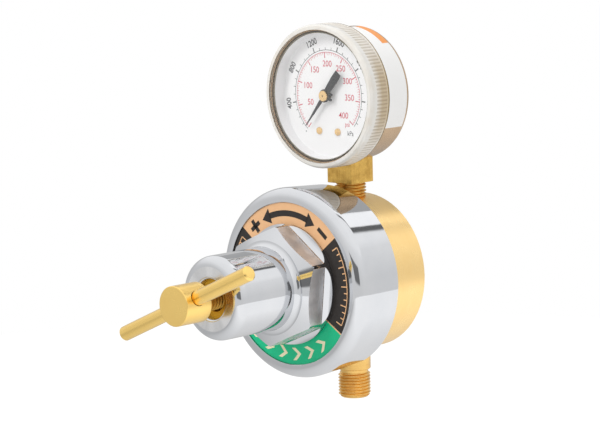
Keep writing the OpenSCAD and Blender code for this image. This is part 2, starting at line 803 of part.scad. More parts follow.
// A stretch of the Bourdon tube's bend, solid, with its section grown or shrunk on every side.
module tube_bend(from_angle, to_angle, grow = 0) {
    half_t = tube_t / 2 + grow;
    half_w = tube_w / 2 + grow;
    translate([0, 0, tube_mid]) rotate(from_angle) rotate_extrude(angle = to_angle - from_angle)
        translate([tube_bend_r, 0]) {
            translate([-half_t, -half_w + half_t]) square([2 * half_t, 2 * (half_w - half_t)]);
            for (side = [-1, 1]) translate([0, side * (half_w - half_t)]) circle(r = half_t);
        }
}

tube_root_angle = 268;

module gauge_socket() {
    port_r = port_d / 2 - fixed_fit;
    stem_bore_r = 1.5;
    cone_h = 1.8;
    block_top = gauge_z - dial_screw_drop + 3;
    square_in_case = 2.2;
    color(brass) difference() {
        union() {
            translate([0, -port_station, 0]) {
                translate([0, 0, port_part_end])
                    cylinder(r1 = port_r - thread_lead, r2 = port_r, h = thread_lead);
                translate([0, 0, port_part_end + thread_lead])
                    cylinder(r = port_r, h = shank_bottom - cone_h - port_part_end - thread_lead);
                translate([0, 0, shank_bottom - cone_h])
                    cylinder(r1 = port_r, r2 = square_w / 2, h = cone_h);
            }
            translate([-square_w / 2, -block_back - square_w, shank_bottom])
                cube([square_w, square_w, shank_to_axis - case_r + square_in_case]);
            translate([-square_w / 2, -block_front, shank_bottom])
                cube([square_w, block_depth, block_top - shank_bottom]);
            gauge() for (x = [-dial_screw_x, dial_screw_x])
                translate([x, -dial_screw_drop, 0]) disc(post_r, block_front - cut, dial_back);
        }
        translate([0, -port_station, port_part_end - cut])
            cylinder(r = stem_bore_r, h = gauge_z - tube_bend_r - port_part_end + cut);
        gauge() {
            tube_bend(200, tube_root_angle, fixed_fit);
            for (x = [-movement_screw_x, movement_screw_x])
                translate([x, -dial_screw_drop, 0])
                    disc(movement_screw_r + fixed_fit, block_front - movement_screw_grip - 0.2,
                         block_front + cut);
            for (x = [-case_screw_x, case_screw_x])
                translate([x, -case_screw_drop, 0])
                    disc(case_screw_r + fixed_fit, block_back - cut, block_back + case_screw_grip + 0.2);
            for (x = [-dial_screw_x, dial_screw_x])
                translate([x, -dial_screw_drop, 0])
                    disc(dial_screw_r + fixed_fit, dial_back - dial_screw_grip - 0.2, dial_back + cut);
        }
    }
}

module gauge_case() {
    window = square_w / 2 + 0.1;
    color("darkkhaki") difference() {
        gauge() difference() {
            rotate_extrude() union() {
                translate([0, case_back]) square([case_r - case_round, case_round]);
                translate([0, case_back + case_round]) square([case_r, case_depth - case_round]);
                translate([case_r - case_round, case_back + case_round]) circle(r = case_round);
            }
            rotate_extrude() union() {
                translate([0, block_back]) square([case_r - case_round, case_round]);
                translate([0, case_back + case_round]) square([case_inner_r, case_depth]);
                translate([case_r - case_round, case_back + case_round]) circle(r = case_round - case_t);
            }
            for (x = [-case_screw_x, case_screw_x])
                translate([x, -case_screw_drop, 0])
                    disc(case_screw_r + 2 * fixed_fit, case_back - cut, block_back + cut);
        }
        translate([-window, -block_back - square_w - 0.1, shank_bottom])
            cube([2 * window, square_w + 0.1, shank_to_axis - case_r + 4]);
    }
}

module case_screws() {
    color(steel) gauge() for (x = [-case_screw_x, case_screw_x]) translate([x, -case_screw_drop, 0]) {
        disc(case_screw_r, case_back - case_screw_head_t / 4, block_back + case_screw_grip);
        difference() {
            disc(case_screw_head_r, case_back - case_screw_head_t, case_back);
            translate([-case_screw_head_r - cut, -slot_w / 2, case_back - case_screw_head_t - cut])
                cube([2 * (case_screw_head_r + cut), slot_w, case_screw_head_t / 2 + cut]);
        }
    }
}

module case_sticker() {
    from_angle = -28;
    to_angle = 84;
    paper_t = 0.1;
    back_edge = case_back + case_round + sticker_back_gap;
    front_edge = lens_back - sticker_front_gap;
    color("white") gauge() rotate(from_angle) rotate_extrude(angle = to_angle - from_angle)
        translate([case_r, back_edge]) square([paper_t, front_edge - back_edge]);
}

module gauge_lens() {
    skirt_in = case_r + fixed_fit;
    band_r = lens_r - 0.1;
    rib_root = lens_r - rib_depth;
    rib_back = lens_back + 1.6;
    rib_step = 360 / rib_count;
    color("whitesmoke", 0.4) gauge() difference() {
        union() {
            turned([
                [0, lens_back], [band_r, lens_back], [band_r, rib_back], [rib_root, rib_back],
                [rib_root, rib_back + rib_len], [band_r, rib_back + rib_len],
                [band_r, lens_front - lens_bevel_h], [lens_r - lens_bevel, lens_front], [0, lens_front]]);
            translate([0, 0, rib_back]) linear_extrude(rib_len) polygon([
                for (i = [0:rib_count - 1], k = [0:3])
                    let (r = k == 1 || k == 2 ? lens_r : rib_root + 0.01,
                         a = rib_step * (i + [0.1, 0.3, 0.6, 0.8][k]))
                    r * [cos(a), sin(a)]]);
        }
        disc(skirt_in, lens_back - cut, case_rim);
    }
}

// A pressed pan: a flat face whose edge turns up towards the lens.
module dial() {
    fold = dial_t + 0.7;
    color("white") gauge() difference() {
        rotate_extrude() {
            translate([0, dial_back]) square([dial_r - fold, dial_t]);
            translate([dial_r - fold, dial_back + fold]) intersection() {
                difference() {
                    circle(r = fold);
                    circle(r = fold - dial_t);
                }
                translate([0, -fold]) square(fold);
            }
            translate([dial_r - dial_t, dial_back + fold])
                square([dial_t, dial_wall_top - dial_back - fold]);
        }
        disc(2, dial_back - cut, dial_top + cut);
        for (x = [-dial_screw_x, dial_screw_x])
            translate([x, -dial_screw_drop, 0])
                disc(dial_screw_r + 0.2, dial_back - cut, dial_top + cut);
    }
}

module dial_screws() {
    head_t = 0.8;
    slot_depth = 0.3;
    color(brass) gauge() for (x = [-dial_screw_x, dial_screw_x]) translate([x, -dial_screw_drop, 0]) {
        disc(dial_screw_r, dial_back - dial_screw_grip, dial_top + head_t / 4);
        difference() {
            disc(dial_screw_d / 2, dial_top, dial_top + head_t);
            translate([-dial_screw_d, -slot_w / 2, dial_top + head_t - slot_depth])
                cube([2 * dial_screw_d, slot_w, cut]);
        }
    }
}

// The pointer's outline lies along +X before it turns to the zero mark.
module pointer() {
    color("black") gauge() rotate(pointer_zero) difference() {
        translate([0, 0, pointer_station]) linear_extrude(pointer_t) {
            polygon([[pointer_len, 0], [0, 0.9], [-pointer_tail + 2.4, 1.9], [-pointer_tail, 1.2],
                     [-pointer_tail, -1.2], [-pointer_tail + 2.4, -1.9], [0, -0.9]]);
            circle(r = 2.6);
        }
        disc(hub_sleeve_r + fixed_fit, pointer_station - cut, pointer_top + cut);
    }
}

module pointer_hub() {
    arbor_hole_r = arbor_r + 0.02;
    sleeve_end = dial_top + hub_gap;
    color(brass) gauge() turned([
        [arbor_hole_r, sleeve_end], [hub_sleeve_r, sleeve_end], [hub_sleeve_r, pointer_top],
        [hub_d / 2, pointer_top], [hub_d / 2, hub_top], [0, hub_top], [0, hub_top - 0.4],
        [arbor_hole_r, hub_top - 0.4]]);
}

module pinion() {
    tip = gear_module;
    root = 1.2 * gear_module;
    step = 360 / pinion_teeth;
    color(brass) gauge() {
        translate([0, 0, pinion_station]) linear_extrude(pinion_t) polygon([
            for (i = [0:pinion_teeth - 1])
                each tooth_points(pinion_pitch_r, pinion_teeth, tip, root, gear_play, step * i - pivot_drop)]);
        disc(arbor_r, block_front + 0.1, hub_top - 0.5);
        disc(collet_r, pinion_station + pinion_t, front_plate_back - 0.1);
    }
}

module sector_gear() {
    step = sector_step;
    tip = 0.8 * gear_module;
    root = 1.25 * gear_module;
    low = mesh_angle - step * (sector_teeth - 2.5);
    rim_in = sector_pitch_r - 1.8;
    color(brass) gauge() translate([pivot[0], pivot[1], 0]) {
        translate([0, 0, gear_station]) linear_extrude(sector_t) {
            polygon(concat(
                [for (i = [0:sector_teeth - 1])
                    each tooth_points(sector_pitch_r, sector_wheel_teeth, tip, root, gear_play, low + step * i)],
                [for (i = [sector_teeth:-1:0]) let (a = low + step * (i - 0.5)) rim_in * [cos(a), sin(a)]]));
            for (a = [low + step, low + step * (sector_teeth - 2)])
                strap([0, 0], (rim_in + 0.4) * [cos(a), sin(a)], 0.9);
            strap([0, 0], tail_pin - pivot, 1);
            circle(r = 2.2);
        }
        disc(1.4, back_plate_top + 0.1, front_plate_back - 0.1);
        disc(pivot_arbor_r, block_front + 0.1, front_plate_top - 0.1);
        translate(tail_pin - pivot) disc(pin_r, link_station - 0.3, gear_station);
    }
}

module link() {
    color(brass) gauge() difference() {
        translate([0, 0, link_station]) linear_extrude(link_t) {
            strap(tail_pin, tip_pin, 0.7);
            translate(tail_pin) circle(r = eye_r);
            translate(tip_pin) circle(r = eye_r);
        }
        for (p = [tail_pin, tip_pin])
            translate(p) disc(pin_r + running_fit, link_station - cut, link_station + link_t + cut);
    }
}

// A flat ribbon wound in an even spiral from the collet to the first pillar.
module hairspring() {
    end_angle = atan2(pillars[0][1], pillars[0][0]);
    r_out = norm(pillars[0]) - pillar_r - hair_t / 2 - 0.05;
    r_in = collet_r + hair_t / 2 + 0.05;
    steps = hair_turns * 24;
    mid = [for (i = [0:steps]) let (u = i / steps, a = end_angle - 360 * hair_turns * (1 - u))
        [r_in + (r_out - r_in) * u, a]];
    color("silver") gauge(hair_station) linear_extrude(hair_w) polygon(concat(
        [for (p = mid) (p[0] - hair_t / 2) * [cos(p[1]), sin(p[1])]],
        [for (i = [steps:-1:0]) (mid[i][0] + hair_t / 2) * [cos(mid[i][1]), sin(mid[i][1])]]));
}

module bourdon_tube() {
    color("peru") gauge() difference() {
        tube_bend(-tube_end_drop, tube_root_angle);
        tube_bend(-tube_end_drop - 1, tube_root_angle + 1, -tube_wall);
    }
}

module tube_tip() {
    color(brass) gauge() {
        tube_bend(-tube_end_drop - tip_sweep, -tube_end_drop);
        translate(tip_pin) disc(pin_r, tube_front - 2, link_station + link_t);
    }
}

// The outline that both movement plates share: from the pinion to the sector's pivot and the far pillar.
module plate_outline() {
    strap([0, 0], pivot, 2.4);
    strap([0, 0], pillars[0], 2.2);
    strap(pivot, pillars[1], 2.2);
}

module bearing_holes(from, to) {
    disc(arbor_r + running_fit, from - cut, to + cut);
    translate([pivot[0], pivot[1], 0]) disc(pivot_arbor_r + running_fit, from - cut, to + cut);
}

module movement_back_plate() {
    color(brass) gauge() difference() {
        translate([0, 0, block_front]) linear_extrude(movement_plate_t) {
            plate_outline();
            translate([-foot_half_w, -dial_screw_drop - 2.4])
                square([2 * foot_half_w, dial_screw_drop + 2.4]);
        }
        bearing_holes(block_front, back_plate_top);
        for (x = [-movement_screw_x, movement_screw_x])
            translate([x, -dial_screw_drop, 0])
                disc(movement_screw_r + fixed_fit, block_front - cut, back_plate_top + cut);
    }
}

module movement_front_plate() {
    color(brass) gauge() difference() {
        translate([0, 0, front_plate_back]) linear_extrude(movement_plate_t) plate_outline();
        bearing_holes(front_plate_back, front_plate_top);
    }
}

module movement_pillars() {
    color(brass) gauge() for (p = pillars) translate(p) disc(pillar_r, back_plate_top, front_plate_back);
}

module movement_screws() {
    head_r = 1.3;
    head_t = 0.8;
    color(steel) gauge() {
        for (x = [-movement_screw_x, movement_screw_x]) translate([x, -dial_screw_drop, 0]) {
            disc(movement_screw_r, block_front - movement_screw_grip, back_plate_top + head_t / 2);
            disc(head_r, back_plate_top, back_plate_top + head_t);
        }
        for (p = pillars) translate(p) disc(head_r, front_plate_top, front_plate_top + head_t);
    }
}

// ---------------------------------------------------------------- assembly

body();
inlet_filter();
nozzle();
nozzle_gasket();
valve_seat();
valve_poppet();
valve_spring();
diaphragm();
diaphragm_stud();
diaphragm_plate();
diaphragm_nut();
slip_ring();
bonnet();
bonnet_label();
screw_bushing();
adjusting_spring();
spring_button();
adjusting_screw();
t_bar();
outlet_fitting();
gauge_socket();
gauge_case();
case_screws();
case_sticker();
gauge_lens();
dial();
dial_screws();
pointer();
pointer_hub();
pinion();
sector_gear();
link();
hairspring();
bourdon_tube();
tube_tip();
movement_back_plate();
movement_front_plate();
movement_pillars();
movement_screws();
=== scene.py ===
"""Looks of a single-stage gas pressure regulator with its gauge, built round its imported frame.

Lengths are millimetres, times MM where they reach a mesh. A turned piece starts as its half section,
points of radius and station, and PLACES lays the station axis into the row frame.
"""
from math import atan2, cos, hypot, pi, radians, sin, tan

import bmesh
import bpy
from mathutils import Matrix, Vector


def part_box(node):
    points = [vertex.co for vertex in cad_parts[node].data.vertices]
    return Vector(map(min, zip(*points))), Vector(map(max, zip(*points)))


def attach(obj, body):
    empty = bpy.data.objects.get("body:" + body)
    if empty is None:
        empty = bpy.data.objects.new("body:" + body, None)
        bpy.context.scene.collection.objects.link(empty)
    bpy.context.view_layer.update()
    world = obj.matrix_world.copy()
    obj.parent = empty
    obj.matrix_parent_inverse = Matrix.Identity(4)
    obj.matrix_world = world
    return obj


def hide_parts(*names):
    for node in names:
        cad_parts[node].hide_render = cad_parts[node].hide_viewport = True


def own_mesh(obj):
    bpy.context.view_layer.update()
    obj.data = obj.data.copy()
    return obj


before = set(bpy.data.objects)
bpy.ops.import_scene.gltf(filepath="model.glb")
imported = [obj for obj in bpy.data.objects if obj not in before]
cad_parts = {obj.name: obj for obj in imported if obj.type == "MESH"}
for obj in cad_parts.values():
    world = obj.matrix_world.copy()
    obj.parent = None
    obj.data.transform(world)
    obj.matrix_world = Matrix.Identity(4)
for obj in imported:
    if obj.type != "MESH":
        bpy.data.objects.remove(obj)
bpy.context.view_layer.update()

MM = 0.001
SHARP_FROM = 28


def box_mm(node):
    """Two corners of a node's box, in millimetres."""
    low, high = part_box(node)
    return low / MM, high / MM


# ---------------------------------------------------------------- sizes, most of them from the frame

BODY_LOW, BODY_HIGH = box_mm("body")
BONNET_LOW, BONNET_HIGH = box_mm("bonnet")
LABEL_LOW, LABEL_HIGH = box_mm("bonnet_label")
SCREW_LOW, SCREW_HIGH = box_mm("adjusting_screw")
BUSHING_LOW, BUSHING_HIGH = box_mm("screw_bushing")
OUTLET_LOW, OUTLET_HIGH = box_mm("outlet_fitting")
CASE_LOW, CASE_HIGH = box_mm("gauge_case")
LENS_LOW, LENS_HIGH = box_mm("gauge_lens")
DIAL_LOW, DIAL_HIGH = box_mm("dial")
POINTER_LOW, POINTER_HIGH = box_mm("pointer")
BAR_LOW, BAR_HIGH = box_mm("t_bar")

PORT_STATION = -(OUTLET_LOW.y + OUTLET_HIGH.y) / 2
GAUGE_Z = (CASE_LOW.z + CASE_HIGH.z) / 2
BAR_STATION = -(BAR_LOW.y + BAR_HIGH.y) / 2
BAR_TURN = 23.8
BAR_LENGTH = 83
BAR_R = 6.35 / 2

BODY_R = BODY_HIGH.x
SPIGOT_TOP = -BODY_LOW.y
SKIRT_BACK = -BONNET_HIGH.y
SKIRT_R = BONNET_HIGH.x
NECK_TOP = -BONNET_LOW.y
LABEL_FLOOR = -LABEL_HIGH.y
LABEL_TOP = -LABEL_LOW.y
LABEL_R = LABEL_HIGH.x
LABEL_IN_R = 25.9
RIM_TOP = LABEL_FLOOR + 1
RING_TOP = RIM_TOP + 0.8
HEX_TOP = RING_TOP + 12.4
HEX_FLATS = 46
HEX_TURN = 24
HEX_CORNER_R = 26.2
HEX_COVE = 3
NECK_R = 18
NECK_ROUND = 4.5
NECK_HOLE_R = 8.5
BUSHING_BOTTOM = -BUSHING_HIGH.y
BUSHING_TOP = -BUSHING_LOW.y
BUSHING_R = BUSHING_HIGH.x

BOSS_R = 8.5
BOSS_FRONT = -SCREW_LOW.y
BOSS_BACK = BOSS_FRONT - 14
SCREW_TIP = -SCREW_HIGH.y
SHANK_R = 4.76
SHANK_PITCH = 1.5875

CASE_R = CASE_HIGH.x
CASE_BACK = -CASE_HIGH.y
CASE_RIM = -CASE_LOW.y
SHEET = 0.8
LENS_R = LENS_HIGH.x
LENS_BACK = -LENS_HIGH.y
LENS_FRONT = -LENS_LOW.y
LENS_RIBS = 120
DIAL_R = DIAL_HIGH.x
DIAL_BACK = -DIAL_HIGH.y
DIAL_SHEET = 0.5
DIAL_TOP = DIAL_BACK + DIAL_SHEET
DIAL_WALL_TOP = -DIAL_LOW.y
POINTER_BACK = -POINTER_HIGH.y
POINTER_TOP = -POINTER_LOW.y
HUB_TOP = -box_mm("pointer_hub")[0].y
SQUARE_SHANK = 14.29
DIAL_SCREW_X = 5.6
DIAL_SCREW_DROP = 16
CASE_SCREW_X = 4
CASE_SCREW_DROP = 17

PLACES = {
    "regulator": Matrix.Rotation(pi / 2, 4, "X"),
    "gauge": Matrix.Translation((0, 0, GAUGE_Z * MM)) @ Matrix.Rotation(pi / 2, 4, "X"),
    "stem": Matrix.Translation((0, -PORT_STATION * MM, 0)),
    "outlet": Matrix.Translation((0, -PORT_STATION * MM, 0)) @ Matrix.Rotation(pi, 4, "X"),
    "bar": Matrix.Translation((0, -BAR_STATION * MM, 0)) @ Matrix.Rotation(radians(90 - BAR_TURN), 4, "Y"),
}


# ---------------------------------------------------------------- mesh helpers

def rounded(points, steps=4):
    """An outline with its corners rounded: each point is (x, y) or (x, y, radius)."""
    drawn = []
    last = len(points) - 1
    for i, point in enumerate(points):
        here = Vector(point[:2])
        if len(point) < 3:
            drawn.append(here)
            continue
        back = (Vector(points[i - 1][:2]) - here).normalized()
        on = (Vector(points[0 if i == last else i + 1][:2]) - here).normalized()
        half = back.angle(on) / 2
        centre = here + (back + on).normalized() * point[2] / sin(half)
        start = here + back * point[2] / tan(half) - centre
        end = here + on * point[2] / tan(half) - centre
        sweep = pi - 2 * half
        for k in range(steps + 1):
            turn = sweep * k / steps
            drawn.append(centre + (start * sin(sweep - turn) + end * sin(turn)) / sin(sweep))
    return drawn


def arc(x, y, radius, start, end, steps=8):
    """Points of an arc between two angles in degrees."""
    turns = [radians(start + (end - start) * k / steps) for k in range(steps + 1)]
    return [(x + radius * cos(t), y + radius * sin(t)) for t in turns]


def add(name, data):
    """Puts a new object into the scene."""
    made = bpy.data.objects.new(name, data)
    bpy.context.scene.collection.objects.link(made)
    return made


def baked(bm, name):
    """A mesh made of a bmesh, which is freed."""
    mesh = bpy.data.meshes.new(name)
    bm.to_mesh(mesh)
    bm.free()
    return mesh


def draw(bm, points, closed=True):
    """A half section in the XZ plane: radius across, station up. Gives its vertices and edges."""
    verts = [bm.verts.new((x * MM, 0, y * MM)) for x, y in (p[:2] for p in points)]
    edges = [bm.edges.new(pair) for pair in zip(verts, verts[1:])]
    if closed:
        edges.append(bm.edges.new((verts[-1], verts[0])))
    return verts + edges


def tidy(bm, gap=2e-6):
    """Merges doubles and points the faces outwards."""
    bmesh.ops.remove_doubles(bm, verts=bm.verts, dist=gap)
    bmesh.ops.dissolve_degenerate(bm, edges=bm.edges, dist=gap / 4)
    bmesh.ops.recalc_face_normals(bm, faces=bm.faces)
    return bm


def spin(bm, geom, angle, steps, climb=0.0, merge=False):
    """Spins geometry about the local Z axis, climbing by so many millimetres in all."""
    return bmesh.ops.spin(bm, geom=geom, cent=(0, 0, 0), axis=(0, 0, 1), dvec=(0, 0, climb * MM / steps),
                          angle=angle, steps=steps, use_merge=merge, use_duplicate=False)


def slice_at(bm, place, normal, clear=False):
    """Cuts a mesh along a plane; clear drops what lies behind it."""
    bmesh.ops.bisect_plane(bm, geom=bm.verts[:] + bm.edges[:] + bm.faces[:], dist=1e-7,
                           plane_co=Vector(place) * MM, plane_no=normal, clear_inner=clear)


def lathe(points, closed=True, steps=128, bm=None):
    """Spins a half section right round the local Z axis."""
    new = bmesh.new()
    spin(new, draw(new, points, closed), 2 * pi, steps, merge=True)
    return join(bm, tidy(new))


def join(bm, new):
    """Adds the mesh new to bm, or gives new back where there is no bm yet."""
    if bm is None:
        return new
    carrier = baked(new, "carrier")
    bm.from_mesh(carrier)
    bpy.data.meshes.remove(carrier)
    return bm


def sector(r_in, r_out, low, high, start, end, step=2.0, bm=None):
    """A slab between two radii, two heights and two angles in degrees."""
    new = bmesh.new()
    face = bmesh.ops.contextual_create(
        new, geom=draw(new, [(r_in, low), (r_out, low), (r_out, high), (r_in, high)]))["faces"]
    bmesh.ops.rotate(new, verts=new.verts, cent=(0, 0, 0), matrix=Matrix.Rotation(radians(start), 3, "Z"))
    spin(new, face, radians(end - start), max(1, round(abs(end - start) / step)))
    return join(bm, tidy(new))


def plate(points, low, high, bm=None):
    """A flat outline in local X and Y, between two heights."""
    new = bmesh.new()
    corners = [new.verts.new(Vector((x, y, low)) * MM) for x, y in (p[:2] for p in points)]
    face = new.faces.new(corners)
    made = bmesh.ops.extrude_face_region(new, geom=[face])["geom"]
    bmesh.ops.translate(new, verts=[v for v in made if isinstance(v, bmesh.types.BMVert)],
                        vec=(0, 0, (high - low) * MM))
    return join(bm, tidy(new))


def block(low, high, edge=0.0, bm=None):
    """A box between two corners, its edges broken by a small bevel."""
    new = bmesh.new()
    size = Vector(high) - Vector(low)
    middle = (Vector(high) + Vector(low)) / 2
    bmesh.ops.create_cube(new, size=1)
    bmesh.ops.scale(new, verts=new.verts, vec=size * MM)
    bmesh.ops.translate(new, verts=new.verts, vec=middle * MM)
    if edge:
        bmesh.ops.bevel(new, geom=new.edges[:], offset=edge * MM, affect="EDGES", segments=2, profile=0.5,
                        material=-1)
    return join(bm, tidy(new))


def loop_at(bm, height):
    """The open edges at one height."""
    return [e for e in bm.edges
            if e.is_boundary and all(abs(v.co.z - height * MM) < 2e-6 for v in e.verts)]


def follow(bm, edges, points):
    """Draws an open loop on through points of (radius, height), and gives the last ring's edges."""
    for radius, height in (p[:2] for p in points):
        made = bmesh.ops.extrude_edge_only(bm, edges=edges)["geom"]
        fresh = {v for v in made if isinstance(v, bmesh.types.BMVert)}
        for v in fresh:
            turn = atan2(v.co.y, v.co.x)
            v.co = Vector((radius * cos(turn), radius * sin(turn), height)) * MM
        edges = [e for e in made if isinstance(e, bmesh.types.BMEdge) and e.verts[0] in fresh
                 and e.verts[1] in fresh]
    return edges


def thread(crest, root, pitch, low, high, limit, bites=6, steps=64):
    """A helical thread about Z from low to high.

    limit(radius, height) gives the radius that chamfers and run-outs leave there.
    """
    one_pitch = ((root, 0), (root, 0.18), (crest, 0.5), (crest, 0.68))
    bm = bmesh.new()
    section = []
    height = low - pitch
    while height < high + pitch:
        section += [(radius, height + share * pitch) for radius, share in one_pitch]
        height += pitch
    spin(bm, draw(bm, section, closed=False), 2 * pi, steps, pitch)
    bmesh.ops.remove_doubles(bm, verts=bm.verts, dist=2e-6)
    for end, side in ((low, 1), (high, -1)):
        slice_at(bm, (0, 0, end), (0, 0, side), clear=True)
        for k in range(1, bites):
            slice_at(bm, (0, 0, end + side * pitch * k / bites), (0, 0, 1))
    for v in bm.verts:
        radius = hypot(v.co.x, v.co.y) / MM
        share = limit(radius, v.co.z / MM) / radius
        v.co.x *= share
        v.co.y *= share
    bmesh.ops.remove_doubles(bm, verts=bm.verts, dist=1e-6)
    return bm


def coil(mean_r, wire_r, base, spans, sides=16, steps=40):
    """A spring about Z: its wire climbs through spans of (turns, rise), and its ends are closed."""
    bm = bmesh.new()
    bmesh.ops.create_circle(bm, segments=sides, radius=wire_r * MM,
                            matrix=Matrix.Translation(Vector((mean_r, 0, base + wire_r)) * MM)
                            @ Matrix.Rotation(pi / 2, 4, "X"))
    ring = bm.edges[:]
    bmesh.ops.contextual_create(bm, geom=ring)
    for turns, rise in spans:
        made = spin(bm, ring, 2 * pi * turns, round(turns * steps), rise)
        ring = [g for g in made["geom_last"] if isinstance(g, bmesh.types.BMEdge)]
    bmesh.ops.contextual_create(bm, geom=ring)
    return tidy(bm, 1e-7)


def words(text, size, x, y, turn=0.0, narrow=0.86, bold=0.06, height=0.02):
    """Printed text: a font outline made a mesh, then set at a place on a dial, in local X and Y."""
    curve = bpy.data.curves.new("print", "FONT")
    curve.body = text
    curve.size = size * MM
    curve.extrude = height / 2 * MM
    curve.offset = bold * MM
    curve.resolution_u = 3
    curve.align_x = "CENTER"
    curve.align_y = "CENTER"
    carrier = add("print", curve)
    bpy.context.view_layer.update()
    graph = bpy.context.evaluated_depsgraph_get()
    mesh = bpy.data.meshes.new_from_object(carrier.evaluated_get(graph))
    mesh.transform(Matrix.Translation(Vector((x, y, DIAL_TOP + height / 2)) * MM)
                   @ Matrix.Rotation(radians(turn), 4, "Z") @ Matrix.Diagonal((narrow, 1, 1, 1)))
    bm = bmesh.new()
    bm.from_mesh(mesh)
    bpy.data.objects.remove(carrier)
    bpy.data.curves.remove(curve)
    bpy.data.meshes.remove(mesh)
    return bm


def show(bm, name, keys, nodes=(), place="regulator", body="regulator", smooth=SHARP_FROM,
         weigh=True):
    """Turns a mesh in its local frame into a piece of the model that rides on a body.

    keys names its finish, or all of its finishes in the order of its faces' numbers; edges past smooth
    degrees stay sharp.
    """
    bmesh.ops.transform(bm, matrix=PLACES[place], verts=bm.verts)
    mesh = baked(bm, name)
    for key in keys if isinstance(keys, tuple) else (keys,):
        mesh.materials.append(FINISHES[key])
    piece = add(name, mesh)
    mesh.shade_smooth()
    mesh.set_sharp_from_angle(angle=radians(smooth))
    if weigh:
        normals = piece.modifiers.new("even_shading", "WEIGHTED_NORMAL")
        normals.keep_sharp = True
        normals.weight = 100
    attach(piece, body)
    if nodes:
        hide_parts(*nodes)
    return piece


def cut_away(piece, tools, place):
    """Cuts meshes in a local frame out of a piece, for good."""
    bpy.context.view_layer.update()
    for tool in tools:
        bmesh.ops.transform(tool, matrix=PLACES[place], verts=tool.verts)
        mesh = baked(tool, "tool")
        cutter = add("tool", mesh)
        cut = piece.modifiers.new("cut", "BOOLEAN")
        cut.object = cutter
        cut.operation = "DIFFERENCE"
        cut.solver = "EXACT"
        piece.modifiers.move(len(piece.modifiers) - 1, 0)
        weighted = piece.modifiers.get("even_shading")
        weighted.show_viewport = False
        graph = bpy.context.evaluated_depsgraph_get()
        graph.update()
        done = bpy.data.meshes.new_from_object(piece.evaluated_get(graph))
        weighted.show_viewport = True
        piece.modifiers.remove(piece.modifiers["cut"])
        old = piece.data
        piece.data = done
        done.name = old.name
        bpy.data.meshes.remove(old)
        bpy.data.objects.remove(cutter)
        bpy.data.meshes.remove(mesh)
        done.set_sharp_from_angle(angle=radians(SHARP_FROM))


# ---------------------------------------------------------------- finish helpers

def node(tree, kind, inputs=None, **settings):
    """Adds a shader node; inputs are values or the sockets that feed them."""
    made = tree.nodes.new("ShaderNode" + kind)
    for key, value in settings.items():
        setattr(made, key, value)
    for key, value in (inputs or {}).items():
        if isinstance(value, bpy.types.NodeSocket):
            tree.links.new(value, made.inputs[key])
        else:
            made.inputs[key].default_value = value
    return made


def maths(tree, operation, *values):
    """The result of a Math node."""
    return node(tree, "Math", dict(enumerate(values)), operation=operation).outputs[0]


def times(tree, product, *factors):
    """Values multiplied together."""
    for factor in factors:
        product = maths(tree, "MULTIPLY", product, factor)
    return product


def plus(tree, base, value, share):
    """A base with a share of a value on top."""
    return maths(tree, "MULTIPLY_ADD", value, share, base)


def both(tree, first, second, share=0.5):
    """Two noises laid over each other, with share as the first one's weight."""
    return maths(tree, "ADD", times(tree, first, share), times(tree, second, 1 - share))


def parts(tree, vector):
    """The X, Y and Z of a vector."""
    return node(tree, "SeparateXYZ", {0: vector}).outputs


def finish(name, colour, metallic=0.0, roughness=0.5, **sockets):
    """A new material and its Principled shader with plain values."""
    material = bpy.data.materials.new(name)
    material.use_nodes = True
    tree = material.node_tree
    shader = tree.nodes["Principled BSDF"]
    shader.inputs["Base Color"].default_value = (*colour, 1)
    shader.inputs["Metallic"].default_value = metallic
    shader.inputs["Roughness"].default_value = roughness
    for key, value in sockets.items():
        shader.inputs[key.replace("_", " ")].default_value = value
    return material, tree, shader


def local_mm(tree, place="regulator"):
    """Object coordinates in a turned piece's own frame, in millimetres."""
    lie = PLACES[place]
    return node(tree, "Mapping", {
        "Vector": node(tree, "TexCoord").outputs["Object"], "Location": lie.translation,
        "Rotation": lie.to_euler(), "Scale": (MM, MM, MM)}, vector_type="TEXTURE").outputs[0]


def ring_mm(tree, place, drift=0.01):
    """Radius and height about a piece's own axis, with a slow drift round it, as a vector."""
    spot = parts(tree, local_mm(tree, place))
    across = node(tree, "CombineXYZ", {"X": spot["X"], "Y": spot["Y"]})
    radius = node(tree, "VectorMath", {0: across.outputs[0]}, operation="LENGTH").outputs["Value"]
    return node(tree, "CombineXYZ", {
        "X": plus(tree, radius, spot["X"], drift), "Y": plus(tree, spot["Z"], spot["Y"], drift),
        "Z": times(tree, spot["Y"], drift)}).outputs[0]


def noise(tree, where, per_mm, detail=2.0, rough=0.5):
    """Noise in space, at a scale in waves to the millimetre."""
    inputs = {"Vector": where, "Scale": per_mm, "Detail": detail, "Roughness": rough}
    return node(tree, "TexNoise", inputs, noise_dimensions="3D").outputs["Fac"]


def spread(tree, value, low, high, start=0.3, end=0.7):
    """Maps a value from start to end, the middle of a noise, onto low to high."""
    return node(tree, "MapRange", {"Value": value, "From Min": start, "From Max": end, "To Min": low,
                                   "To Max": high}).outputs[0]


def blend_colours(tree, share, first, second):
    """A share of the second colour over the first; each is red, green and blue, or a socket."""
    inputs = {0: share}
    for key, colour in ((6, first), (7, second)):
        inputs[key] = colour if isinstance(colour, bpy.types.NodeSocket) else (*colour, 1)
    return node(tree, "Mix", inputs, data_type="RGBA").outputs[2]


def between(tree, value, low, high, soft):
    """1 where a value lies between two limits, with soft ends."""
    rise = spread(tree, value, 0, 1, low - soft, low)
    fall = spread(tree, value, 1, 0, high, high + soft)
    return times(tree, rise, fall)


def ramp(tree, value, stops):
    """Greys or colours at places between 0 and 1."""
    made = node(tree, "ValToRGB", {"Fac": value})
    levels = made.color_ramp.elements
    while len(levels) < len(stops):
        levels.new(0.5)
    for element, (place, level) in zip(levels, stops):
        element.position = place
        element.color = (*level, 1) if isinstance(level, tuple) else (level, level, level, 1)
    return made.outputs["Color"]


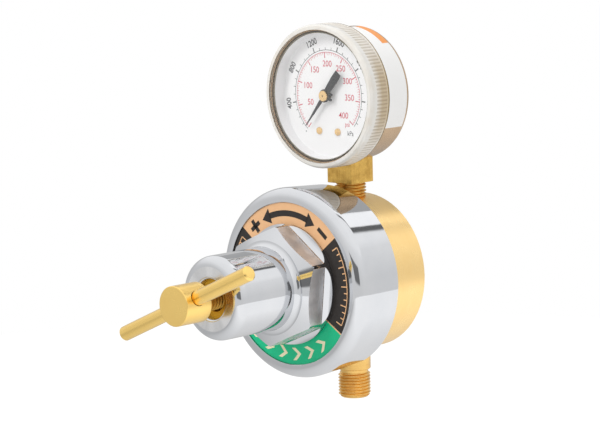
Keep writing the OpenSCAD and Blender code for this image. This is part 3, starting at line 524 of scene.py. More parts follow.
def surface(tree, shown):
    """Makes a shader the one that a material shows."""
    tree.links.new(shown.outputs[0], tree.nodes["Material Output"].inputs["Surface"])


def dress(tree, shader, colour, roughness, layers):
    """Feeds a shader its colour and roughness, and stacks its bumps: layers of height and micrometres."""
    if colour:
        tree.links.new(colour, shader.inputs["Base Color"])
    tree.links.new(roughness, shader.inputs["Roughness"])
    normal = None
    for height, depth in layers:
        inputs = {"Height": height, "Distance": depth * 1e-6, "Strength": 1.0}
        if normal:
            inputs["Normal"] = normal
        normal = node(tree, "Bump", inputs).outputs[0]
    tree.links.new(normal, shader.inputs["Normal"])


# ---------------------------------------------------------------- finishes

def turned_metal(name, colour, stain, place="regulator", rough=(0.2, 0.32), groove=(2.2, 1.5), wear=0.6):
    """Metal off the lathe: fine rings about its axis, slow colour change, blotches of handling."""
    material, tree, shader = finish(name, colour, 1.0, rough[1])
    rings = ring_mm(tree, place)
    spot = local_mm(tree, place)
    fine = noise(tree, rings, groove[0], 3.0, 0.65)
    coarse = noise(tree, rings, groove[0] / 5, 2.0)
    blotch = noise(tree, spot, 0.12, 4.0, 0.6)
    share = times(tree, spread(tree, blotch, 0, wear), spread(tree, fine, 0.5, 1))
    dress(tree, shader, blend_colours(tree, share, colour, stain),
          spread(tree, both(tree, fine, blotch), *rough), [(fine, groove[1]), (coarse, groove[1] * 2)])
    return material


def drawn_metal(name, colour, stain, along=(4.0, 4.0, 0.12), rough=(0.22, 0.4), depth=4.0):
    """Bar stock: drawing lines along one axis, dull patches and a few dark scratches."""
    material, tree, shader = finish(name, colour, 1.0, rough[1])
    spot = local_mm(tree, "stem")
    lines = noise(tree, node(tree, "Mapping", {"Vector": spot, "Scale": along}).outputs[0], 1.0, 3.0, 0.7)
    blotch = noise(tree, spot, 0.35, 4.0, 0.65)
    share = times(tree, spread(tree, blotch, 0, 1, 0.35, 0.65), spread(tree, lines, 0.4, 1))
    dress(tree, shader, blend_colours(tree, share, colour, stain), spread(tree, lines, *rough),
          [(lines, depth), (blotch, depth * 2)])
    return material


def turn_about(tree, spot):
    """The angle about a turned piece's axis, in radians."""
    way = parts(tree, spot)
    return maths(tree, "ARCTAN2", way["Y"], way["X"])


def chrome_plate():
    """Chrome over brass: mirror bright where it was buffed, duller on the milled flats and the faced end,
    which carries a fan of painted highlight round its hole.
    """
    bright, dull = (0.672, 0.680, 0.698), (0.640, 0.652, 0.675)
    flat_light, flat_dark = (0.85, 0.86, 0.88), (0.70, 0.71, 0.73)
    end_dark, end_highlight = (0.68, 0.68, 0.685), (0.86, 0.86, 0.865)
    material, tree, shader = finish("chrome_plate", bright, 1.0, 0.05)
    rings = ring_mm(tree, "regulator", 0.0)
    place = parts(tree, rings)
    radius, station = place["X"], place["Y"]
    spot = local_mm(tree)
    facing_front = parts(tree, node(tree, "TexCoord").outputs["Normal"])["Y"]
    faced = times(tree, between(tree, station, NECK_TOP - 0.12, NECK_TOP + 1, 0.1),
                  between(tree, radius, 0, NECK_R - NECK_ROUND + 0.1, 0.3))
    bored = times(tree, between(tree, station, BUSHING_TOP - 1, NECK_TOP - 0.5, 0.2),
                  between(tree, radius, 0, NECK_HOLE_R + 0.2, 0.1))
    milled = times(tree, between(tree, station, RING_TOP + 0.02, HEX_TOP, 0.02),
                   between(tree, radius, HEX_FLATS / 2 - 0.05, HEX_CORNER_R - 0.1, 0.02),
                   maths(tree, "LESS_THAN", maths(tree, "ABSOLUTE", facing_front), 0.2))
    haze = noise(tree, spot, 0.09, 3.0, 0.55)
    buffing = noise(tree, rings, 1.3, 3.0, 0.6)
    facing = noise(tree, rings, 3.0, 2.0, 0.6)
    blotch = noise(tree, spot, 0.16, 2.0, 0.5)
    shine = spread(tree, both(tree, haze, buffing, 0.6), 0.03, 0.07)
    shine = plus(tree, shine, faced, 0.17)
    shine = plus(tree, shine, bored, 0.32)
    shine = plus(tree, shine, milled, spread(tree, station, 0.46, 0.30, RING_TOP, HEX_TOP))
    # Painted highlight: lighter sectors fan out round the hole on the faced end, standing in for the glints
    # of its facing marks.
    turn = turn_about(tree, spot)
    round_it = node(tree, "CombineXYZ", {"X": maths(tree, "COSINE", turn), "Y": maths(tree, "SINE", turn)})
    rays = noise(tree, round_it.outputs[0], 1.7, 2.0, 0.5)
    fan_highlight = times(tree, faced, spread(tree, rays, 0.0, 1.0, 0.35, 0.65))
    colour = blend_colours(tree, spread(tree, haze, 0, 1), bright, dull)
    patchy = blend_colours(tree, spread(tree, blotch, 0, 1, 0.4, 0.6), flat_light, flat_dark)
    colour = blend_colours(tree, milled, colour, patchy)
    colour = blend_colours(tree, faced, colour, end_dark)
    colour = blend_colours(tree, fan_highlight, colour, end_highlight)
    dress(tree, shader, colour, shine, [
        (noise(tree, spot, 0.16, 1.0), 8), (buffing, 0.25), (times(tree, facing, faced), 2.0),
        (times(tree, blotch, milled), 8)])
    return material


def plain_metal(name, colour, rough, depth=2.0, per_mm=1.2):
    """Small rigid metal pieces inside: a grained, slightly clouded metal."""
    material, tree, shader = finish(name, colour, 1.0, rough)
    spot = local_mm(tree)
    grain = noise(tree, spot, per_mm, 4.0, 0.6)
    darker = tuple(0.78 * c for c in colour)
    dress(tree, shader, blend_colours(tree, spread(tree, grain, 0, 1), colour, darker),
          spread(tree, grain, rough * 0.8, rough * 1.25), [(grain, depth)])
    return material


def plain_solid(name, colour, second, rough, depth=10.0, per_mm=1.5):
    """Rubber, fibre, plastic and paper: two near colours in a fine grain."""
    material, tree, shader = finish(name, colour, 0.0, rough)
    spot = local_mm(tree)
    grain = noise(tree, spot, per_mm, 5.0, 0.65)
    dress(tree, shader, blend_colours(tree, spread(tree, grain, 0, 1), colour, second),
          spread(tree, grain, rough * 0.85, rough * 1.15), [(grain, depth)])
    return material


def printed_foil(name, colour, second, rough=0.3):
    """The label's printed plastic film: even ink with a fine stipple under a soft gloss."""
    material, tree, shader = finish(name, colour, 0.0, rough, Specular_IOR_Level=0.3)
    spot = local_mm(tree)
    stipple = noise(tree, spot, 6.0, 2.0)
    cloud = noise(tree, spot, 0.3, 3.0)
    share = maths(tree, "ADD", spread(tree, stipple, 0, 0.4), spread(tree, cloud, 0, 0.6))
    dress(tree, shader, blend_colours(tree, share, colour, second),
          spread(tree, stipple, rough * 0.85, rough * 1.2), [(stipple, 2), (cloud, 6)])
    return material


def case_lacquer():
    """Pale gold lacquer on drawn steel, with a faint orange peel and soft drawing rings."""
    base, deep = (0.50, 0.355, 0.225), (0.43, 0.295, 0.175)
    material, tree, shader = finish("case_lacquer", base, 0.9, 0.3, Coat_Weight=0.15, Coat_Roughness=0.1)
    spot = local_mm(tree, "gauge")
    peel = noise(tree, spot, 1.1, 2.0)
    rings = noise(tree, ring_mm(tree, "gauge"), 0.7, 2.0)
    cloud = noise(tree, spot, 0.08, 3.0)
    dress(tree, shader, blend_colours(tree, spread(tree, cloud, 0, 0.8), base, deep),
          spread(tree, peel, 0.24, 0.36), [(peel, 6), (rings, 4)])
    return material


def lens_plastic(name, colour, clear_share, rough):
    """Moulded plastic, faintly warm, with slight flow marks. Light goes straight through to the dial."""
    material, tree, shader = finish(name, colour, 0.0, rough[1], IOR=1.49, Transmission_Weight=clear_share)
    spot = local_mm(tree, "gauge")
    flow = noise(tree, spot, 0.12, 2.0)
    dress(tree, shader, None, spread(tree, noise(tree, spot, 0.5, 3.0), *rough), [(flow, 6)])
    let_light_through(tree, shader)
    return material


def let_light_through(tree, shader):
    """Lets the lamps and the bounced light pass a clear piece, so that what it covers is lit."""
    path = node(tree, "LightPath").outputs
    through = maths(tree, "MAXIMUM", path["Is Shadow Ray"], path["Is Diffuse Ray"])
    clear = node(tree, "BsdfTransparent", {"Color": (1, 1, 1, 1)})
    surface(tree, node(tree, "MixShader", {0: through, 1: shader.outputs[0], 2: clear.outputs[0]}))


def lens_skirt():
    """The lens's ribbed skirt: gold shows through its sides and its front is milky; a painted shadow darkens
    its lip, painted shade fills the grooves between its ribs, and a painted highlight lightens its top and
    bottom.
    """
    # The dark lip colour is a painted shadow along the skirt's back edge.
    lip_shadow, gold, straw = (0.24, 0.16, 0.045), (0.68, 0.57, 0.39), (0.63, 0.51, 0.34)
    # The darkest colour on this line is painted shade for the grooves between the ribs.
    pale, milky, groove_shade = (0.93, 0.90, 0.84), (0.90, 0.90, 0.88), (0.30, 0.225, 0.135)
    ribs_from, ribs_to = 0.14, 0.66
    front = ((ribs_to, pale), (0.69, milky), (1.0, milky))
    material, tree, shader = finish("lens_skirt", straw, 0.0, 0.12, IOR=1.49, Transmission_Weight=0.2)
    ring = parts(tree, ring_mm(tree, "gauge", 0.0))
    along = spread(tree, ring["Y"], 0, 1, LENS_BACK, LENS_FRONT)
    spot = local_mm(tree, "gauge")
    aside = maths(tree, "DIVIDE", maths(tree, "ABSOLUTE", parts(tree, spot)["X"]), ring["X"])
    golden = spread(tree, aside, 0, 1, 0.74, 0.97)
    sides = ramp(tree, along, ((0.0, lip_shadow), (0.065, lip_shadow), (0.085, gold), (0.125, gold), (ribs_from, straw),
                               (0.40, straw), *front))
    # At top and bottom the skirt turns pale behind the lip: a painted highlight of the light from above and
    # of the floor's bounce, where the sides show gold.
    ends = ramp(tree, along, ((0.0, lip_shadow), (0.05, lip_shadow), (0.075, pale), *front))
    bands = blend_colours(tree, golden, ends, sides)
    wave = maths(tree, "COSINE", times(tree, turn_about(tree, spot), LENS_RIBS))
    # Painted shade: each groove between the ribs is darkened.
    groove = times(tree, plus(tree, 0.5, wave, -0.5),
                   between(tree, along, ribs_from, ribs_to, 0.02), 0.5)
    shade_lined = blend_colours(tree, groove, bands, groove_shade)
    cloud = noise(tree, spot, 0.11, 3.0, 0.6)
    share = times(tree, spread(tree, cloud, 0.0, 0.3), spread(tree, along, 0.3, 1.0, 0.6, 0.9))
    colour = blend_colours(tree, share, shade_lined, straw)
    dress(tree, shader, colour, spread(tree, cloud, 0.08, 0.18), [(cloud, 6)])
    let_light_through(tree, shader)
    return material


BRASS = (0.905, 0.655, 0.290)
YELLOW_BRASS = (1.000, 0.700, 0.230)
# A darker brass for the bushing: partly its own tone and partly painted shade for its place deep in the neck
# under the boss.
SHADED_DARK_BRASS = (0.760, 0.440, 0.045)

FINISHES = {
    "body": turned_metal("turned_brass_body", (0.985, 0.705, 0.315), (0.93, 0.63, 0.25),
                         rough=(0.24, 0.36), groove=(1.8, 1.6)),
    "screw": turned_metal("turned_brass_screw", YELLOW_BRASS, (0.94, 0.63, 0.20),
                          rough=(0.26, 0.32), groove=(1.6, 0.3)),
    # The shank's brass is a darker copy of the screw's: painted shade for its place down in the neck's hole
    # behind the boss.
    "shank": turned_metal("turned_brass_shank_shaded", (0.66, 0.39, 0.085), (0.48, 0.26, 0.04),
                          rough=(0.34, 0.46), groove=(2.6, 1.2)),
    "bar": turned_metal("drawn_brass_bar", YELLOW_BRASS, (0.93, 0.63, 0.20), "bar",
                        rough=(0.2, 0.28), groove=(1.2, 0.35)),
    "outlet": turned_metal("turned_brass_outlet", (0.87, 0.56, 0.185), (0.66, 0.37, 0.10), "outlet",
                           rough=(0.2, 0.34), groove=(3.0, 1.6), wear=0.9),
    "socket": drawn_metal("bar_brass_socket", (0.82, 0.52, 0.135), (0.50, 0.28, 0.06)),
    "movement": plain_metal("stamped_brass_movement", BRASS, 0.25),
    "bushing": turned_metal("turned_brass_bushing", SHADED_DARK_BRASS, (0.64, 0.36, 0.035),
                            rough=(0.38, 0.5), groove=(2.2, 0.6)),
    "tube": plain_metal("bronze_tube", (0.72, 0.44, 0.26), 0.3),
    "chrome": chrome_plate(),
    "spring": plain_metal("spring_wire", (0.42, 0.43, 0.45), 0.32),
    "zinc": plain_metal("zinc_steel", (0.62, 0.63, 0.64), 0.3),
    "aluminium": plain_metal("plate_aluminium", (0.78, 0.79, 0.80), 0.34),
    "rubber": plain_solid("diaphragm_rubber", (0.030, 0.030, 0.032), (0.045, 0.045, 0.047), 0.65),
    "seat": plain_solid("seat_plastic", (0.86, 0.84, 0.78), (0.80, 0.77, 0.70), 0.4, 4),
    "gasket": plain_solid("gasket_fibre", (0.24, 0.11, 0.06), (0.33, 0.16, 0.08), 0.75, 20),
    "filter": plain_metal("sintered_bronze", (0.60, 0.42, 0.24), 0.55, 60, 5.0),
    "tan": printed_foil("label_tan", (0.80, 0.475, 0.250), (0.76, 0.44, 0.225)),
    "black": printed_foil("label_black", (0.022, 0.018, 0.016), (0.032, 0.027, 0.024), 0.4),
    "green": printed_foil("label_green", (0.003, 0.500, 0.235), (0.002, 0.455, 0.21)),
    "cream": printed_foil("label_cream", (0.84, 0.76, 0.52), (0.80, 0.71, 0.47)),
    "case": case_lacquer(),
    "paper": plain_solid("sticker_paper", (0.86, 0.855, 0.85), (0.82, 0.815, 0.80), 0.42, 3, 3.0),
    "orange": plain_solid("sticker_orange", (0.86, 0.325, 0.07), (0.82, 0.29, 0.06), 0.42, 3, 3.0),
    "lens": lens_plastic("lens_window", (0.985, 0.98, 0.965), 1.0, (0.005, 0.04)),
    "skirt": lens_skirt(),
    "pan_edge": plain_metal("pan_edge", (0.32, 0.29, 0.22), 0.4),
    "dial": plain_solid("dial_enamel", (0.875, 0.875, 0.885), (0.85, 0.85, 0.865), 0.45, 1.5, 2.0),
    "red_ink": plain_solid("dial_ink_red", (0.62, 0.055, 0.1), (0.56, 0.045, 0.085), 0.5, 1),
    "black_ink": plain_solid("dial_ink_black", (0.022, 0.022, 0.026), (0.035, 0.035, 0.04), 0.5, 1),
    "pointer": plain_solid("pointer_paint", (0.020, 0.022, 0.026), (0.030, 0.032, 0.036), 0.38, 3),
    "hub": turned_metal("turned_brass_hub", (0.93, 0.66, 0.34), (0.85, 0.56, 0.26), "gauge",
                        rough=(0.2, 0.3), groove=(5.0, 1.0)),
}


# ---------------------------------------------------------------- regulator pieces

def make_body():
    """Brass body: rear face with its threaded inlet, turned side, spigot and the hollows inside."""
    inlet_r, inlet_depth, relief = 5.65, 11.0, 1.5
    deep, pitch, start = 0.55, 1.411, 0.35
    root_r, thread_top = inlet_r + deep, inlet_depth - relief
    mouth, countersink = 0.9, 0.9
    pocket_r, pocket_floor = 4.6, 14
    hole_r, hole_floor = 3, 16
    bore_r, chamber_floor, chamber_r = 8, 31, 27
    spigot_r, chamfer = 33.8, 1.2
    spotface_r, spotface_floor, beyond = 8.5, BODY_R - 1, BODY_R + 2

    def limit(radius, height):
        return max(radius, root_r + 0.05 - (height - mouth / 3) if height < mouth else 0)

    bm = thread(inlet_r, root_r, pitch, start, thread_top, limit)
    inner = follow(bm, loop_at(bm, thread_top), [
        (root_r, thread_top), (root_r, inlet_depth), (pocket_r, inlet_depth), (pocket_r, pocket_floor),
        (hole_r, pocket_floor), (hole_r, hole_floor), (bore_r, hole_floor), (bore_r, chamber_floor),
        (chamber_r, chamber_floor), (chamber_r, SPIGOT_TOP)])
    outer = follow(bm, loop_at(bm, start), rounded([
        (root_r + countersink, 0), (BODY_R - chamfer, 0, 0.25), (BODY_R, chamfer, 0.25), (BODY_R, SKIRT_BACK),
        (spigot_r, SKIRT_BACK), (spigot_r, SPIGOT_TOP)], 3))
    bmesh.ops.bridge_loops(bm, edges=inner + outer)
    piece = show(tidy(bm), "brass_body", "body", ["body"])
    flat = [(0, spotface_floor), (spotface_r, spotface_floor), (spotface_r, beyond), (0, beyond)]
    cut_away(piece, [lathe(flat, False, 64)], "outlet")


def flat_cutter(turn):
    """The milling cut of one hexagon flat, with the cove that the cutter leaves at its foot."""
    flat_r, foot = HEX_FLATS / 2, RING_TOP - 0.05
    beyond_r, beyond_top = flat_r + 8, HEX_TOP + 2
    profile = arc(flat_r + HEX_COVE, foot + HEX_COVE, HEX_COVE, 180, 270, 10)
    profile += [(beyond_r, foot), (beyond_r, beyond_top), (flat_r, beyond_top)]
    bm = plate(profile, -flat_r, flat_r)
    lie = Matrix.Rotation(radians(turn), 3, "Z") @ Matrix.Rotation(pi / 2, 3, "X")
    bmesh.ops.rotate(bm, verts=bm.verts, cent=(0, 0, 0), matrix=lie)
    return bm


def make_bonnet():
    """Chrome bonnet: skirt with its rounded rim and label recess, then the wrench hexagon and neck."""
    rim_round = 5
    rim_r, rim_foot = SKIRT_R - rim_round, RIM_TOP - rim_round
    skirt_back_r, thread_r, thread_top = 40.4, 33.85, 39.3
    recess_r, ring_r = 35.4, 25.8
    hollow_r, spring_r, hollow_top = 28, 13.5, 44
    skirt = rounded([(thread_r, SKIRT_BACK), (skirt_back_r, SKIRT_BACK, 0.35), (SKIRT_R, rim_foot)], 3)
    skirt += arc(rim_r, rim_foot, rim_round, 0, 90, 16)[1:]
    skirt += rounded([(rim_r, RIM_TOP), (recess_r, RIM_TOP, 0.2), (recess_r, LABEL_FLOOR),
                      (ring_r, LABEL_FLOOR), (ring_r, RING_TOP, 0.25), (spring_r, RING_TOP),
                      (spring_r, hollow_top), (hollow_r, hollow_top), (hollow_r, thread_top),
                      (thread_r, thread_top)], 3)[1:]
    show(lathe(skirt, steps=192), "bonnet_skirt", "chrome", ["bonnet"], smooth=24)
    cone_r = 20.5
    cone_slope = tan(radians(29.3))
    cone_foot = HEX_TOP - (HEX_CORNER_R - cone_r) * cone_slope
    fillet = cone_r - NECK_R
    bushing_fit_r, mouth_r, mouth_round = BUSHING_R + 0.05, NECK_HOLE_R + 2, 1.2
    foot = RING_TOP - 0.1
    stock = [(spring_r, foot), (HEX_CORNER_R, foot), (HEX_CORNER_R, cone_foot)]
    stock += arc(cone_r, HEX_TOP + fillet, fillet, 270, 180, 8)
    stock += arc(NECK_R - NECK_ROUND, NECK_TOP - NECK_ROUND, NECK_ROUND, 0, 90, 16)
    stock += rounded([(mouth_r, NECK_TOP), (NECK_HOLE_R, NECK_TOP, mouth_round), (NECK_HOLE_R, BUSHING_TOP),
                      (bushing_fit_r, BUSHING_TOP), (bushing_fit_r, BUSHING_BOTTOM),
                      (spring_r, BUSHING_BOTTOM)], 5)
    hexagon = show(lathe(stock, steps=144), "bonnet_hexagon", "chrome", smooth=24)
    cut_away(hexagon, [flat_cutter(HEX_TURN + 30 + 60 * k) for k in range(6)], "regulator")
    break_corners(hexagon)


def break_corners(hexagon):
    """Softens the edges between the hexagon's flats and its turned corners."""
    bend, near, shortest, soft, sharp_from = 15, 0.05, 1.5, 0.3, 22
    bm = bmesh.new()
    bm.from_mesh(hexagon.data)
    bmesh.ops.remove_doubles(bm, verts=bm.verts, dist=2e-6)
    upright = [e for e in bm.edges if len(e.link_faces) == 2 and e.calc_face_angle(0) > radians(bend)
               and all(abs(hypot(v.co.x, v.co.z) - HEX_CORNER_R * MM) < near * MM for v in e.verts)
               and abs(e.verts[0].co.y - e.verts[1].co.y) > shortest * MM]
    bmesh.ops.bevel(bm, geom=upright, offset=soft * MM, affect="EDGES", segments=3, profile=0.5, material=-1)
    bm.to_mesh(hexagon.data)
    bm.free()
    hexagon.data.set_sharp_from_angle(angle=radians(sharp_from))


def painted(new, number):
    """Gives every face of a mesh one finish of its piece's list."""
    for face in new.faces:
        face.material_index = number
    return new


def ring_spot(radius, turn, along=0.0):
    """A point of a ring: radius and angle in degrees, then a step along the ring."""
    t = radians(turn)
    return radius * cos(t) - along * sin(t), radius * sin(t) + along * cos(t)


def make_label():
    """The ring label: tan, black and green fields with plain turn, tick and chevron marks."""
    turn_marks = (39.5, 140.5)
    green = (213, 327)
    line = 0.5
    tan_fields = [turn_marks, (green[0] - line, green[0] + line), (green[1] - line, green[1] + line)]
    black_fields = [(turn_marks[1], green[0] - line), (green[1] + line, 360 + turn_marks[0])]
    bm = bmesh.new()
    for number, fields in enumerate((tan_fields, black_fields, [(green[0] + line, green[1] - line)])):
        for start, end in fields:
            join(bm, painted(sector(LABEL_IN_R, LABEL_R, LABEL_FLOOR, LABEL_TOP, start, end), number))
    show(bm, "label_ring", ("tan", "black", "green"), ["bonnet_label"], weigh=False)
    ink = (LABEL_TOP, LABEL_TOP + 0.03)
    middle = (LABEL_IN_R + LABEL_R) / 2

    def mark(bm, turn, points):
        """An inked outline at an angle: points are steps outwards and along the ring."""
        plate([ring_spot(middle + out, turn, along) for out, along in points], *ink, bm=bm)

    def bar(bm, turn, half_out, half_along):
        """An inked rectangle at an angle."""
        mark(bm, turn, [(x * half_out, y * half_along) for x, y in ((-1, -1), (1, -1), (1, 1), (-1, 1))])

    dark = bmesh.new()
    shaft_half, head_half, head_turn = 1.3, 3.4, 9.5
    shaft_turns, tips = (69, 111), ((-1, 60), (1, 120))
    sector(middle - shaft_half, middle + shaft_half, *ink, *shaft_turns, bm=dark)
    for side, tip in tips:
        foot = tip - side * head_turn
        head = [(middle - head_half, foot), (middle, tip), (middle + head_half, foot)]
        plate([ring_spot(radius, turn) for radius, turn in head], *ink, bm=dark)
    long_half, thick_half = 3.1, 0.95
    plus_turn, minus_turn = 130, 50
    bar(dark, plus_turn, long_half, thick_half)
    bar(dark, plus_turn, thick_half, long_half)
    bar(dark, minus_turn, thick_half, long_half)
    show(dark, "label_turn_marks", "black", weigh=False)
    chevrons = bmesh.new()
    for turn in range(232, 309, 15):
        mark(chevrons, turn, [(2.7, -2.9), (2.7, -0.9), (0, 2.2), (-2.7, -0.9), (-2.7, -2.9), (0, 0.2)])
    show(chevrons, "label_chevrons", "cream", weigh=False)
    light = bmesh.new()
    scale_out, scale_line = 2.6, 0.35
    long_tick, short_tick, tick_half, tick_steps = 3.04, 1.6, 0.22, 12
    for start, end in ((-27, 33), (147, 207)):
        for k in range(tick_steps + 1):
            reach = scale_out - (long_tick if k % 3 == 0 else short_tick)
            mark(light, start + (end - start) * k / tick_steps,
                 [(scale_out, -tick_half), (scale_out, tick_half), (reach, tick_half), (reach, -tick_half)])
        sector(middle + scale_out, middle + scale_out + scale_line, *ink, start, end, bm=light)
    show(light, "label_light_marks", "tan", weigh=False)


def make_adjusting_screw():
    """Brass adjusting screw: cross-drilled boss, threaded shank, T-bar through the boss."""
    depth = 0.62 * SHANK_PITCH
    root_r = SHANK_R - depth
    tip_r = SHANK_R / 2
    start = SCREW_TIP + SHANK_R / 2
    end = BOSS_BACK + 0.3

    def limit(radius, height):
        return min(radius, root_r + 0.02 + max(0, height - start))

    bm = thread(SHANK_R, root_r, SHANK_PITCH, start, end, limit)
    follow(bm, loop_at(bm, start), [(tip_r, SCREW_TIP), (0, SCREW_TIP)])
    follow(bm, loop_at(bm, end), [(2, end), (0, end)])
    tidy(bm)
    boss = rounded([(0, BOSS_BACK), (BOSS_R, BOSS_BACK, 0.4), (BOSS_R, BOSS_FRONT, 0.45), (0, BOSS_FRONT)], 4)
    piece = show(lathe(boss, False), "screw_boss", "screw", ["adjusting_screw"],
                 body="adjusting_screw")
    hole_r = BAR_R + 0.08
    sunk_r, far_r = hole_r + 0.1, hole_r + 4
    straight, edge, beyond = 7.4, 7.9, 12
    hole = [(0, -beyond), (far_r, -beyond), (sunk_r, -edge), (hole_r, -straight), (hole_r, straight),
            (sunk_r, edge), (far_r, beyond), (0, beyond)]
    cut_away(piece, [lathe(hole, False, 64)], "bar")
    show(bm, "screw_shank", "shank", body="adjusting_screw")
    half = BAR_LENGTH / 2
    chamfer, soft = 0.8, 0.25
    rod = rounded([(0, -half), (BAR_R - chamfer, -half, soft), (BAR_R, chamfer - half, soft),
                   (BAR_R, half - chamfer, soft), (BAR_R - chamfer, half, soft), (0, half)], 3)
    show(lathe(rod, False, 64), "cross_bar", "bar", ["t_bar"], place="bar",
         body="adjusting_screw")


def make_bushing():
    """Brass bushing in the neck's hole, round the screw."""
    inner_r = SHANK_R + 0.3
    lead = 0.6
    ring = rounded([(inner_r, BUSHING_BOTTOM), (BUSHING_R, BUSHING_BOTTOM, 0.3), (BUSHING_R, BUSHING_TOP),
                    (inner_r + lead, BUSHING_TOP), (inner_r, BUSHING_TOP - lead)], 3)
    show(lathe(ring, steps=96), "bushing", "bushing", ["screw_bushing"])


def make_outlet():
    """Outlet fitting, upside down in its own frame: shoulder, groove, thread, mouth with its conical seat."""
    end = -OUTLET_LOW.z
    crest, depth, pitch = 7.14, 0.78, 1.411
    thread_length, groove_width = 11.2, 1.3
    top = end - thread_length
    shoulder_top = top - groove_width
    groove_r, shoulder_r, stub_r = 6.2, 7.35, 6.65
    body_side, inner_end = 33.4, 22
    bore_r, mouth_r, seat_r, seat_depth = 2.7, 4.75, 4.6, 2.6
    run_out, chamfer = 1.2, 1.2

    def limit(radius, height):
        return min(radius, groove_r + run_out * (height - top), crest - chamfer + (end - height))

    bm = thread(crest, crest - depth, pitch, top, end, limit, bites=5)
    mouth = follow(bm, loop_at(bm, end), [(mouth_r, end), (seat_r, end - 0.1), (bore_r, end - seat_depth),
                                          (bore_r, inner_end)])
    shoulder = follow(bm, loop_at(bm, top), rounded([
        (groove_r + 0.001, top - 0.01), (groove_r, shoulder_top, 0.2), (shoulder_r, shoulder_top, 0.5),
        (shoulder_r, body_side, 0.2), (stub_r, body_side), (stub_r, inner_end, 0.5),
        (bore_r + 0.2, inner_end)], 3))
    bmesh.ops.bridge_loops(bm, edges=mouth + shoulder)
    show(tidy(bm), "outlet", "outlet", ["outlet_fitting"], place="outlet")


def make_socket():
    """Gauge socket: pipe-threaded stem, square wrench block, and the block inside the case."""
    foot, under = 22.5, 40.0
    crest, depth, pitch, taper = 6.65, 0.72, 1.411, 0.02
    root_r = crest - depth
    chamfer, lead, run_out = 0.3, 1.1, 0.9
    half, post_half = SQUARE_SHANK / 2, 1.2
    case_bottom = GAUGE_Z - CASE_R
    screw_z = GAUGE_Z - DIAL_SCREW_DROP
    overlap, into_case, inner_depth, past_screws = 0.02, 2.2, 9.6, 3

    def limit(radius, height):
        start_r = root_r - chamfer + lead * max(0, height - foot)
        return min(radius - taper * max(0, under - height), start_r, root_r + run_out * (under - height))

    bm = thread(crest + 0.35, root_r, pitch, foot, under, limit)
    follow(bm, loop_at(bm, foot), [(1.5, foot), (0, foot)])
    follow(bm, loop_at(bm, under), [(2, under), (0, under)])
    tidy(bm)
    block((-half, -half, under - overlap), (half, half, case_bottom + into_case), 0.28, bm)
    inner_front = PORT_STATION - (CASE_BACK + SHEET + inner_depth)
    block((-half, inner_front, case_bottom + 1), (half, half, screw_z + past_screws), 0.2, bm)
    for x in (-DIAL_SCREW_X, DIAL_SCREW_X):
        block((x - post_half, PORT_STATION - DIAL_TOP + 0.5, screw_z - post_half),
              (x + post_half, inner_front + 0.5, screw_z + post_half), 0.1, bm)
    show(bm, "gauge_stem", "socket", ["gauge_socket"], place="stem")


# ---------------------------------------------------------------- gauge pieces

def make_case():
    """Drawn steel cup with a rolled back corner and a window for the square shank."""
    corner_r = 2.5
    bend_r = CASE_R - corner_r
    bend_s = CASE_BACK + corner_r
    inner_r = CASE_R - SHEET
    edge, straight = 0.3, CASE_RIM - 1
    cup = [(0, CASE_BACK)]
    cup += arc(bend_r, bend_s, corner_r, -90, 0, 8)
    cup += rounded([(CASE_R, straight), (CASE_R, CASE_RIM, edge), (inner_r, CASE_RIM, edge),
                    (inner_r, straight)], 3)
    cup += arc(bend_r, bend_s, corner_r - SHEET, 0, -90, 8)
    cup += [(0, CASE_BACK + SHEET)]
    piece = show(lathe(cup, False, 160), "case", "case", ["gauge_case"], place="gauge")
    window = SQUARE_SHANK / 2 + 0.1
    window_block = block((-window, -CASE_R - 2, PORT_STATION - window),
                         (window, -CASE_R + 4, PORT_STATION + window))
    cut_away(piece, [window_block], "gauge")
    head_r, shank_r = 2, 1
    face, shank_end = CASE_BACK - 0.9, CASE_BACK + 3.8
    head = rounded([(0, face), (head_r, face, 0.35), (head_r, CASE_BACK), (shank_r, CASE_BACK),
                    (shank_r, shank_end), (0, shank_end)], 3)
    show(screw_pair(head, CASE_SCREW_X, CASE_SCREW_DROP, (face, face + 0.5, 0.25)), "case_screw_pair",
         "zinc", ["case_screws"], place="gauge")


def slotted(head, level, floor, half_width):
    """Presses a screwdriver slot into a turned head, between the level of its face and the slot's floor."""
    for side in (-1, 1):
        for off in (0, 0.02):
            slice_at(head, (0, side * (half_width + off), 0), (0, 1, 0))
    toward = 1 if floor > level else -1
    for v in head.verts:
        if abs(v.co.y) < (half_width + 0.005) * MM and toward * (floor * MM - v.co.z) > 0:
            v.co.z = floor * MM
    return head


def screw_pair(section, aside, drop, slot):
    """Two slotted screws side by side, from one half section; slot is what slotted takes."""
    pair = bmesh.new()
    for x in (-aside, aside):
        head = slotted(lathe(section, False, 32), *slot)
        bmesh.ops.translate(head, verts=head.verts, vec=Vector((x, -drop, 0)) * MM)
        join(pair, head)
    return pair


def make_sticker():
    """A blank two-colour sticker round the case's upper right side."""
    low, high = box_mm("case_sticker")
    back, front = -high.y, -low.y
    split = back + 3.9
    start, orange_from, end = -28.0, 49.5, 84.0
    radii = (CASE_R + 0.01, CASE_R + 0.1)
    fields = ((0, (back, split), (start, orange_from)), (0, (split, front), (start, end)),
              (1, (back, split), (orange_from, end)))
    bm = bmesh.new()
    for number, stations, turns in fields:
        join(bm, painted(sector(*radii, *stations, *turns), number))
    show(bm, "sticker", ("paper", "orange"), ["case_sticker"], place="gauge", weigh=False)


